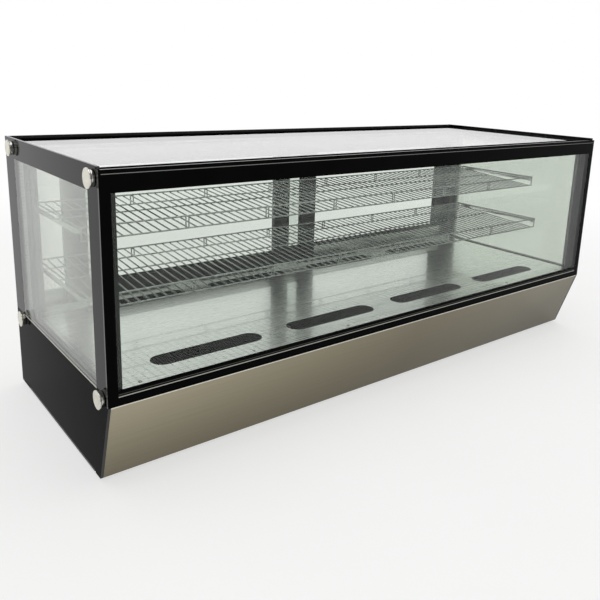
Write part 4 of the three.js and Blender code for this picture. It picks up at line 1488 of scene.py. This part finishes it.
@dataclass
class GlassBolts:
    """The eight turned bolts that clamp the outer panes to the frame."""

    flange_radius: float = 20.6 * MM
    neck_radius: float = 17.6 * MM
    flange: float = 3.2 * MM
    neck: float = 8.8 * MM
    stem_radius: float = 6 * MM
    edge: float = 0.9 * MM
    groove: float = 1.2 * MM
    dish: float = 0.25 * MM
    face: float = 0.5 * MM
    sides: int = 56

    def build(self) -> None:
        """Makes one bolt, and copies it to each corner of both sides."""
        low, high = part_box("right_front_upper_glass_bolt")
        first = self.bolt("bolt_right_front_upper", low, high)
        for side in ("left", "right"):
            for corner in ("front_upper", "front_lower", "rear_upper", "rear_lower"):
                node = f"{side}_{corner}_glass_bolt"
                there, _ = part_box(f"right_{corner}_glass_bolt")
                name = f"bolt_{side}_{corner}"
                piece = first
                if node != "right_front_upper_glass_bolt":
                    piece = Bench.copied(first, name, (0, there.y - low.y, there.z - low.z))
                if side == "left":
                    piece = self.flipped(piece, name)
                hand_over(piece, [Finishes.bolt_chrome, Finishes.bolt_face], [node])

    @staticmethod
    def flipped(piece: Object, name: str) -> Object:
        """Swaps a bolt for its mirror image on the left side.

        Args:
            piece: the bolt, which is removed.
            name: the new bolt's name.

        Returns:
            The mirrored bolt.
        """
        twin = Bench.mirrored(piece, f"{name}_twin", (True, False, False))
        bpy.data.objects.remove(piece)
        twin.name = name
        return twin

    def bolt(self, name: str, low: Vector, high: Vector) -> Object:
        """Turns one bolt between its node's corners, with its face outwards.

        Args:
            name: the piece's name.
            low: its node's lowest corner.
            high: its node's highest corner.

        Returns:
            The bolt.
        """
        start = (low.x, (low.y + high.y) / 2, (low.z + high.z) / 2)
        length = high.x - low.x
        neck_foot = length - self.flange - self.neck
        waist = length - self.flange
        profile = [
            (0, self.stem_radius * 0.8),
            (self.edge, self.stem_radius * 0.96),
            (neck_foot, self.stem_radius * 0.96),
            (neck_foot, self.neck_radius - self.edge),
            (neck_foot + self.edge, self.neck_radius),
            (waist - self.groove - self.edge, self.neck_radius),
            (waist - self.groove, self.neck_radius - self.groove),
            (waist, self.neck_radius - self.groove),
            (waist, self.flange_radius - self.edge / 2),
            (waist + self.edge / 2, self.flange_radius),
            (length - self.edge, self.flange_radius),
            (length - self.edge * 0.3, self.flange_radius - self.edge * 0.4),
            (length, self.flange_radius - self.edge * 1.3),
            (length - self.dish, self.flange_radius - self.edge * 2.4),
        ]
        piece = Bench.turned(name, start, (1, 0, 0), profile, self.sides)
        fill_slots(piece, (Finishes.bolt_chrome, Finishes.bolt_face))
        paint_faces(piece, 1, lambda middle, normal: normal.x > 0.9 and middle.x > high.x - self.face)
        return piece


@dataclass
class WireShelf:
    """A chrome wire shelf: front-to-back wires that fall a little forwards, between two edge trusses.

    The wires lie over the top of the rear truss and end on the lower wire of the front truss, so that the
    front truss stands up as a stop.
    """

    name: str
    wire: float = 2.0 * MM
    rim: float = 2.3 * MM
    pitch: float = 23.5 * MM
    front_drop: float = 30 * MM
    rear_drop: float = 27 * MM
    rear_dip: float = 3.2 * MM
    middle_share: float = 0.6
    strut_pitch: float = 233.5 * MM
    strut_half_gap: float = 4 * MM
    strut_pairs: int = 6
    strut_share: float = 0.9
    rim_sides: int = 12
    middle_sides: int = 10

    def build(self) -> None:
        """Makes the deck wires, the trusses and the middle wire, and joins them."""
        low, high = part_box(f"{self.name}_shelf")
        start, end = self.deck_ends(low, high)
        parts = [self.deck(low, high)]
        parts += self.truss("front", low, high, low.y + self.rim, self.front_drop)
        parts += self.truss("rear", low, high, high.y - self.rim, self.rear_drop)
        under = start.lerp(end, self.middle_share) - Vector((0, 0, 2 * self.wire))
        left, right = (low.x + self.wire, under.y, under.z), (high.x - self.wire, under.y, under.z)
        parts.append(Bench.rod("middle", left, right, self.wire, self.middle_sides))
        parts += self.ends(low, high)
        shelf = Bench.joined(f"{self.name}_wire_shelf", parts)
        hand_over(shelf, [Finishes.wire_chrome], [f"{self.name}_shelf"], smooth=60)

    def deck_ends(self, low: Vector, high: Vector) -> tuple[Vector, Vector]:
        """Returns the front and the rear end of a deck wire, at x = 0.

        Args:
            low: the shelf's lowest corner.
            high: the shelf's highest corner.

        Returns:
            The two ends.
        """
        front = high.z - self.rim - self.front_drop + 0.9 * self.wire
        rear = high.z - self.rim - self.rear_dip
        return Vector((0, low.y + 0.3 * self.rim, front)), Vector((0, high.y - 0.3 * self.rim, rear))

    def deck(self, low: Vector, high: Vector) -> Object:
        """Makes one front-to-back wire and repeats it along the shelf.

        Args:
            low: the shelf's lowest corner.
            high: the shelf's highest corner.

        Returns:
            The row of wires.
        """
        half = high.x - self.rim
        count = round(2 * half / self.pitch)
        step = 2 * half / count
        first = Vector((step - half, 0, 0))
        start, end = self.deck_ends(low, high)
        wire = Bench.rod("deck_wire", first + start, first + end, self.wire)
        return Bench.repeated(wire, count - 1, (step, 0, 0))

    def truss(self, side: str, low: Vector, high: Vector, y: float, drop: float) -> list[Object]:
        """Makes one edge truss: a top wire, a lower wire and pairs of struts between them.

        Args:
            side: the edge it is on.
            low: the shelf's lowest corner.
            high: the shelf's highest corner.
            y: the place of its wires.
            drop: how far the lower wire lies under the top wire.

        Returns:
            Its parts.
        """
        top = high.z - self.rim
        foot = top - drop
        left = -(self.strut_pairs - 1) / 2 * self.strut_pitch - self.strut_half_gap
        strut = Bench.rod(f"{side}_strut", (left, y, foot), (left, y, top), self.wire * self.strut_share)
        Bench.repeated(strut, 2, (2 * self.strut_half_gap, 0, 0))
        return [
            Bench.rod(f"{side}_top", (low.x, y, top), (high.x, y, top), self.rim, self.rim_sides),
            Bench.rod(f"{side}_foot", (low.x, y, foot), (high.x, y, foot), self.wire, self.rim_sides),
            Bench.repeated(strut, self.strut_pairs, (self.strut_pitch, 0, 0)),
        ]

    def ends(self, low: Vector, high: Vector) -> list[Object]:
        """Makes the two end wires with the struts that close the trusses.

        Args:
            low: the shelf's lowest corner.
            high: the shelf's highest corner.

        Returns:
            Their parts.
        """
        parts = []
        top = high.z - self.rim
        front, rear = low.y + self.rim, high.y - self.rim
        for x in (low.x + self.rim, high.x - self.rim):
            parts.append(Bench.rod("end", (x, front, top), (x, rear, top), self.rim, self.rim_sides))
            for y, drop in ((front, self.front_drop), (rear, self.rear_drop)):
                parts.append(Bench.rod("end_strut", (x, y, top - drop), (x, y, top), self.wire))
        return parts


@dataclass
class ShelfBrackets:
    """The rails on the glass walls that carry a shelf, each with two headed studs."""

    ease: float = 0.7 * MM
    plate: float = 3 * MM
    plate_half_height: float = 6 * MM
    stud_radius: float = 7 * MM
    stud_sides: int = 28

    def build(self) -> None:
        """Makes the four brackets."""
        for shelf in ("upper", "lower"):
            right = f"{shelf}_shelf_right_bracket"
            piece = self.bracket(f"{shelf}_bracket_right", *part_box(right))
            twin = Bench.mirrored(piece, f"{shelf}_bracket_left", (True, False, False))
            hand_over(piece, [Finishes.bracket_chrome], [right])
            hand_over(twin, [Finishes.bracket_chrome], [f"{shelf}_shelf_left_bracket"])

    def bracket(self, name: str, low: Vector, high: Vector) -> Object:
        """Makes the right side's bracket between its node's corners.

        Args:
            name: the piece's name.
            low: its node's lowest corner.
            high: its node's highest corner.

        Returns:
            The bracket.
        """
        middle = (low.z + high.z) / 2
        front, rear = low.y + self.stud_radius, high.y - self.stud_radius
        plate = Bench.block(
            name,
            (high.x - self.plate, front, middle - self.plate_half_height),
            (high.x, rear, middle + self.plate_half_height),
        )
        parts = [Bench.softened(plate, self.ease)]
        profile = self.stud_profile(high.x - low.x)
        for y in (front, rear):
            parts.append(Bench.turned("stud", (low.x, y, middle), (1, 0, 0), profile, self.stud_sides))
        return Bench.joined(name, parts)

    def stud_profile(self, length: float) -> list[tuple[float, float]]:
        """Returns a stud's profile from its head to its seat, as distance along it and radius.

        Args:
            length: how long the stud is.

        Returns:
            The profile.
        """
        radius = self.stud_radius
        return [
            (0, radius - 1.6 * MM),
            (0.8 * MM, radius - 0.6 * MM),
            (1.8 * MM, radius),
            (3.4 * MM, radius),
            (4.0 * MM, radius - 0.6 * MM),
            (4.0 * MM, radius - 2.6 * MM),
            (length - 3.6 * MM, radius - 2.6 * MM),
            (length - 3.2 * MM, radius - 0.4 * MM),
            (length, radius - 0.4 * MM),
        ]


@dataclass
class AirGrilles:
    """The ribbed grilles in the deck that blow and draw the cold air.

    The drops are how far under the rim's top the ribs and the spine lie, and the lifts how far over its
    foot.
    """

    rim: float = 4 * MM
    rim_sides: int = 48
    rim_ease: float = 0.8 * MM
    rib: float = 3.2 * MM
    rib_drop: float = 0.35 * MM
    rib_lift: float = 0.2 * MM
    rib_ease: float = 0.6 * MM
    rib_overlap: float = 0.7
    pitch: float = 8.4 * MM
    spine_half: float = 1.2 * MM
    spine_drop: float = 1.1 * MM
    spine_lift: float = 0.3 * MM
    spine_ease: float = 0.3 * MM

    def build(self) -> None:
        """Makes one grille and copies it to the eight places."""
        low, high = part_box("front_grille_1")
        first = self.grille("grille_front_1", low, high)
        hand_over(first, [Finishes.grille_plastic], ["front_grille_1"])
        for row in ("front", "rear"):
            for i in (1, 2, 3, 4):
                node = f"{row}_grille_{i}"
                if node == "front_grille_1":
                    continue
                there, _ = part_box(node)
                piece = Bench.copied(first, f"grille_{row}_{i}", there - low)
                hand_over(piece, [Finishes.grille_plastic], [node])

    def grille(self, name: str, low: Vector, high: Vector) -> Object:
        """Makes a stadium-shaped grille between its node's corners: a raised rim round a row of ribs.

        Args:
            name: the piece's name.
            low: its node's lowest corner.
            high: its node's highest corner.

        Returns:
            The grille.
        """
        rim = self.stadium(name, low, high)
        ribs = self.ribs(low, high)
        spine = Bench.block(
            "spine",
            (low.x + self.rim, (low.y + high.y) / 2 - self.spine_half, low.z + self.spine_lift),
            (high.x - self.rim, (low.y + high.y) / 2 + self.spine_half, high.z - self.spine_drop),
        )
        Bench.softened(spine, self.spine_ease, 1)
        return Bench.joined(name, [rim, ribs, spine])

    def stadium(self, name: str, low: Vector, high: Vector) -> Object:
        """Makes the rim: a disc parted in the middle and pulled long, with its inside cut away.

        Args:
            name: the piece's name.
            low: its node's lowest corner.
            high: its node's highest corner.

        Returns:
            The rim.
        """
        radius = (high.y - low.y) / 2
        reach = (high.x - low.x) / 2 - radius
        centre = (low + high) / 2
        Bench.clear()
        bpy.ops.mesh.primitive_circle_add(vertices=self.rim_sides, radius=radius, fill_type="NGON")
        rim = Bench.settled(bpy.context.object, name)
        for vertex in rim.data.vertices:
            vertex.co.x += math.copysign(reach, vertex.co.x) if abs(vertex.co.x) > 1e-5 else 0.0
        for vertex in rim.data.vertices:
            vertex.co += Vector((centre.x, centre.y, low.z))
        with Bench.picked(rim, "FACE", lambda middle, normal: True):
            bpy.ops.mesh.inset(thickness=self.rim, depth=0)
            bpy.ops.mesh.delete(type="FACE")
            bpy.ops.mesh.select_all(action="SELECT")
            bpy.ops.mesh.extrude_region_move(TRANSFORM_OT_translate={"value": (0, 0, high.z - low.z)})
        Bench.sound(rim)
        return Bench.softened(rim, self.rim_ease)

    def ribs(self, low: Vector, high: Vector) -> Object:
        """Makes the ribs, each as long as the stadium is wide where it stands.

        Args:
            low: its node's lowest corner.
            high: its node's highest corner.

        Returns:
            The ribs, joined.
        """
        radius = (high.y - low.y) / 2 - self.rim * self.rib_overlap
        centre = (low + high) / 2
        straight = (high.x - low.x) / 2 - (high.y - low.y) / 2
        count = int((high.x - low.x - 2 * self.rim) / self.pitch)
        parts = []
        for i in range(count + 1):
            x = (i - count / 2) * self.pitch
            past = max(abs(x) - straight, 0.0)
            if past >= radius - self.rib:
                continue
            half = math.sqrt(radius * radius - past * past)
            rib = Bench.block(
                "rib",
                (centre.x + x - self.rib / 2, centre.y - half, low.z + self.rib_lift),
                (centre.x + x + self.rib / 2, centre.y + half, high.z - self.rib_drop),
            )
            parts.append(rib)
        return Bench.softened(Bench.joined("ribs", parts), self.rib_ease, 1)


@dataclass
class Screws:
    """The pan-head screws that hold the deck and the rear panel."""

    head_radius: float = 4.2 * MM
    head_height: float = 1.9 * MM
    deck_inset: float = 12 * MM
    deck_places: tuple[float, ...] = (-0.79, -0.5, -0.2, 0.2, 0.5, 0.79)
    panel_side_inset: float = 12 * MM
    panel_edge_inset: float = 9 * MM
    panel_places: tuple[float, float] = (-0.42, 0.165)
    sides: int = 18

    def build(self) -> None:
        """Makes one screw, and copies it along the deck and round the rear panel."""
        low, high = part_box("deck_panel")
        first = self.screw((self.deck_places[0], low.y + self.deck_inset, high.z), (0, 0, 1))
        row = [first]
        for x in self.deck_places[1:]:
            row.append(Bench.copied(first, "screw", (x - self.deck_places[0], 0, 0)))
        piece = Bench.joined("deck_screws", row)
        hand_over(piece, [Finishes.screw_steel], [], "cabinet")
        self.panel_screws()

    def panel_screws(self) -> None:
        """Puts screws round the rear panel."""
        low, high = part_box("rear_panel")
        row = []
        for x in (low.x + self.panel_side_inset, *self.panel_places, high.x - self.panel_side_inset):
            for z in (low.z + self.panel_edge_inset, high.z - self.panel_edge_inset):
                row.append(self.screw((x, high.y, z), (0, 1, 0)))
        piece = Bench.joined("rear_panel_screws", row)
        hand_over(piece, [Finishes.screw_steel], [], "cabinet")

    def screw(self, seat: Sequence[float], axis: Sequence[float]) -> Object:
        """Turns a screw head with a washer face and a socket, seated at a point.

        Args:
            seat: the middle of its foot.
            axis: the direction that its head faces.

        Returns:
            The screw.
        """
        head, tall = self.head_radius, self.head_height
        profile = [
            (0.02 * MM, head),
            (0.4 * MM, head),
            (tall * 0.62, head * 0.86),
            (tall * 0.92, head * 0.62),
            (tall, head * 0.4),
            (tall, head * 0.34),
            (tall * 0.35, head * 0.28),
        ]
        return Bench.turned("screw", seat, axis, profile, self.sides)


@dataclass
class SlidingDoors:
    """The two sliding doors: a painted frame, a pane and the rubber bead that holds it."""

    stile: float = 60 * MM
    foot_rail: float = 54 * MM
    head_rail: float = 40 * MM
    bead: float = 5 * MM
    bead_depth: float = 1.4 * MM
    bead_ease: float = 0.4 * MM
    bead_slack: float = 0.1 * MM
    pane_slack: float = 0.05 * MM
    ease: float = 1.0 * MM

    def build(self) -> None:
        """Makes both doors."""
        for side in ("left", "right"):
            frame_node, glass_node = f"{side}_door_frame", f"{side}_door_glass"
            piece = Bench.softened(Bench.from_node(frame_node, f"{side}_door_frame_eased"), self.ease)
            hand_over(piece, [Finishes.frame_coat], [frame_node], smooth=0)
            dress(glass_node, Finishes.door_glass)
            self.glazing_bead(side, *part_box(frame_node))

    def glazing_bead(self, side: str, low: Vector, high: Vector) -> None:
        """Makes the bead round the pane on both faces of one door.

        Args:
            side: the door's side.
            low: the frame's lowest corner.
            high: the frame's highest corner.
        """
        left, right = low.x + self.stile, high.x - self.stile
        foot, head = low.z + self.foot_rail, high.z - self.head_rail
        glass_low, glass_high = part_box(f"{side}_door_glass")
        parts = []
        for y0, y1 in (
            (glass_low.y - self.bead_depth, glass_low.y - self.pane_slack),
            (glass_high.y + self.pane_slack, glass_high.y + self.bead_depth),
        ):
            slack = self.bead_slack
            ring = Bench.block("bead", (left + slack, y0, foot + slack), (right - slack, y1, head - slack))
            with Bench.picked(ring, "FACE", lambda middle, normal: abs(normal.y) > 0.9):
                bpy.ops.mesh.inset(thickness=self.bead, depth=0)
                bpy.ops.mesh.bridge_edge_loops()
            parts.append(Bench.softened(Bench.sound(ring), self.bead_ease))
        piece = Bench.joined(f"{side}_door_bead", parts)
        hand_over(piece, [Finishes.foot_rubber], [], f"{side}_door")


@dataclass
class Feet:
    """The four rubber feet: a flared foot with a ribbed tread."""

    radius: float = 20 * MM
    ease: float = 1.2 * MM
    seat: float = 0.1 * MM

    def build(self) -> None:
        """Turns one foot and copies it under each corner."""
        nodes = [node for node in frame["nodes"] if node.endswith("_foot")]
        low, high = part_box(nodes[0])
        tall = high.z - low.z
        start = ((low.x + high.x) / 2, (low.y + high.y) / 2, low.z)
        profile = [
            (0, self.radius * 0.42),
            (self.ease * 0.6, self.radius * 0.46),
            (self.ease * 0.6, self.radius * 0.58),
            (0, self.radius * 0.62),
            (0, self.radius - self.ease),
            (self.ease, self.radius),
            (tall * 0.4, self.radius),
            (tall * 0.6, self.radius * 0.86),
            (tall - self.seat, self.radius * 0.84),
            (tall, self.radius * 0.8),
        ]
        first = Bench.turned(f"{nodes[0]}_turned", start, (0, 0, 1), profile)
        for node in nodes[1:]:
            there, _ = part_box(node)
            piece = Bench.copied(first, f"{node}_turned", there - low)
            hand_over(piece, [Finishes.foot_rubber], [node])
        hand_over(first, [Finishes.foot_rubber], [nodes[0]])


@dataclass
class Lighting:
    """The lamp bar under the front head rail: an extruded body with an opal lens."""

    ease: float = 0.8 * MM

    def build(self) -> None:
        """Makes the bar and gives its lower faces the lens."""
        piece = Bench.softened(Bench.from_node("light_bar", "lamp_bar"), self.ease)
        fill_slots(piece, (Finishes.lamp_body, Finishes.lamp_lens))
        paint_faces(piece, 1, lambda middle, normal: normal.z < -0.3)
        hand_over(piece, [Finishes.lamp_body, Finishes.lamp_lens], ["light_bar"])


@dataclass
class Machinery:
    """The tub, the coils, the fans, the compressor and the drain pan under the deck."""

    ease: float = 0.5 * MM

    def build(self) -> None:
        """Dresses what the case hides, and eases the drain pan's edges."""
        dress("evaporator_tub", Finishes.tub_plastic)
        dress("evaporator_coil", Finishes.coil_aluminium)
        dress("condenser_coil", Finishes.coil_aluminium)
        dress("compressor", Finishes.compressor_paint)
        for node in ("left_evaporator_fan", "right_evaporator_fan", "condenser_fan"):
            dress(node, Finishes.fan_plastic)
        piece = Bench.softened(Bench.from_node("drain_pan", "drain_pan_moulded"), self.ease)
        hand_over(piece, [Finishes.fan_plastic], ["drain_pan"])


@dataclass
class RearControls:
    """The thermostat with its display and buttons, the two rocker switches and the power inlet."""

    ease: float = 0.5 * MM
    crease: float = 28.0
    inlet_ease: float = 0.4 * MM
    # The display's window: how far it stands off the thermostat's middle, half its size, and its bezel.
    window_offset: float = 14 * MM
    window_half: tuple[float, float] = (17 * MM, 10 * MM)
    window_rise: float = 0.35 * MM
    window_root: float = 0.2 * MM
    window_ease: float = 0.12 * MM
    bezel: float = 0.8 * MM
    bezel_depth: float = 0.15 * MM
    digit: tuple[float, float] = (6.5 * MM, 11 * MM)
    digit_gap: float = 3.5 * MM
    digit_rise: float = 0.22 * MM
    digit_ease: float = 0.15 * MM
    stroke: float = 1.2 * MM
    bar_trim: float = 1.2
    bar_root: float = 0.12 * MM
    bar_rise: float = 0.1 * MM
    shown: str = "40"
    # The inlet's pins stand inside these half sizes, and this far from its back and from its face.
    pins_half: tuple[float, float] = (13 * MM, 5 * MM)
    pins_clear: tuple[float, float] = (5 * MM, 3 * MM)

    # The bars of a seven-bar digit, as left, right, low and high shares of its width and height.
    BARS = {
        "top": (0, 1, 1, 1),
        "middle": (0, 1, 0.5, 0.5),
        "foot": (0, 1, 0, 0),
        "upper_left": (0, 0, 0.5, 1),
        "upper_right": (1, 1, 0.5, 1),
        "lower_left": (0, 0, 0, 0.5),
        "lower_right": (1, 1, 0, 0.5),
    }
    LIT = {
        "4": ("upper_left", "upper_right", "middle", "lower_right"),
        "0": ("top", "foot", "upper_left", "upper_right", "lower_left", "lower_right"),
    }

    def build(self) -> None:
        """Makes each control."""
        for node, slot, finish in (
            ("thermostat", "black_plastic", Finishes.control_plastic),
            ("set_button", "black_plastic", Finishes.fan_plastic),
            ("defrost_button", "black_plastic", Finishes.fan_plastic),
            ("power_switch", "red_plastic", Finishes.red_plastic),
            ("light_switch", "green_plastic", Finishes.green_plastic),
        ):
            piece = Bench.softened(Bench.from_node(node, f"{node}_moulded"), self.ease, angle=self.crease)
            hand_over(piece, [finish], [node])
        self.display()
        self.inlet()

    def display(self) -> None:
        """Puts the display's window and its digits on the thermostat's face."""
        low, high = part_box("thermostat")
        middle_x, middle_z = (low.x + high.x) / 2 + self.window_offset, (low.z + high.z) / 2
        half_x, half_z = self.window_half
        window = Bench.block(
            "display_window",
            (middle_x - half_x, high.y - self.window_root, middle_z - half_z),
            (middle_x + half_x, high.y + self.window_rise, middle_z + half_z),
        )
        with Bench.picked(window, "FACE", lambda middle, normal: normal.y > 0.9):
            bpy.ops.mesh.inset(thickness=self.bezel, depth=-self.bezel_depth)
        Bench.softened(window, self.window_ease)
        hand_over(window, [Finishes.control_plastic], [], "cabinet")
        width, height = self.digit
        face = high.y + self.digit_rise
        parts = []
        for i, sign in enumerate(self.shown):
            # Seen from behind the case, x runs from right to left, so a digit starts at its right side.
            right = middle_x - (i - len(self.shown) / 2) * (width + self.digit_gap) - self.digit_gap / 2
            for bar in self.LIT[sign]:
                x0, x1, z0, z1 = self.BARS[bar]
                foot, head = (middle_z + (share - 0.5) * height for share in (z0, z1))
                parts.append(self.bar(right - x1 * width, right - x0 * width, foot, head, face))
        digits = Bench.softened(Bench.joined("display_digits", parts), self.digit_ease, 1)
        hand_over(digits, [Finishes.display_digits], [], "cabinet")

    def bar(self, x0: float, x1: float, z0: float, z1: float, face: float) -> Object:
        """Makes one lit bar of a digit, a stroke wide and clear of its neighbours, on the display's face.

        Args:
            x0: the low end of its middle line along x.
            x1: the high end along x.
            z0: the low end along z.
            z1: the high end along z.
            face: the place of its middle along y.

        Returns:
            The bar.
        """
        half = self.stroke / 2
        trim = half * self.bar_trim
        grow_x, grow_z = (-trim, half) if z0 == z1 else (half, -trim)
        return Bench.block(
            "bar",
            (x0 - grow_x, face - self.bar_root, z0 - grow_z),
            (x1 + grow_x, face + self.bar_rise, z1 + grow_z),
        )

    def inlet(self) -> None:
        """Makes the power inlet, whose pins are plated."""
        low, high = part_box("power_inlet")
        piece = Bench.from_node("power_inlet", "power_inlet_moulded")
        finishes = [Finishes.control_plastic, Finishes.bracket_chrome]
        Bench.softened(piece, self.inlet_ease)
        fill_slots(piece, finishes)
        centre = (low + high) / 2
        half_x, half_z = self.pins_half
        rear, front = self.pins_clear

        def is_pin(middle: Vector, normal: Vector) -> bool:
            """Tells whether a face belongs to a pin."""
            held = abs(middle.x - centre.x) < half_x and abs(middle.z - centre.z) < half_z
            return held and low.y + rear < middle.y < high.y - front

        paint_faces(piece, 1, is_pin)
        hand_over(piece, finishes, ["power_inlet"])


def main() -> None:
    """Builds the studio and every sub-assembly in order."""
    logging.basicConfig(level=logging.INFO, format="%(name)s: %(message)s")
    for assembly in (
        Studio(),
        GlassHouse(),
        Frames(),
        RoofTrim(),
        GlassBolts(),
        WireShelf("upper"),
        WireShelf("lower"),
        ShelfBrackets(),
        AirGrilles(),
        Screws(),
        SlidingDoors(),
        Feet(),
        Lighting(),
        Machinery(),
        RearControls(),
    ):
        LOG.info("building %s", type(assembly).__name__)
        assembly.build()
    Bench.clear()


if __name__ == "__main__":
    main()
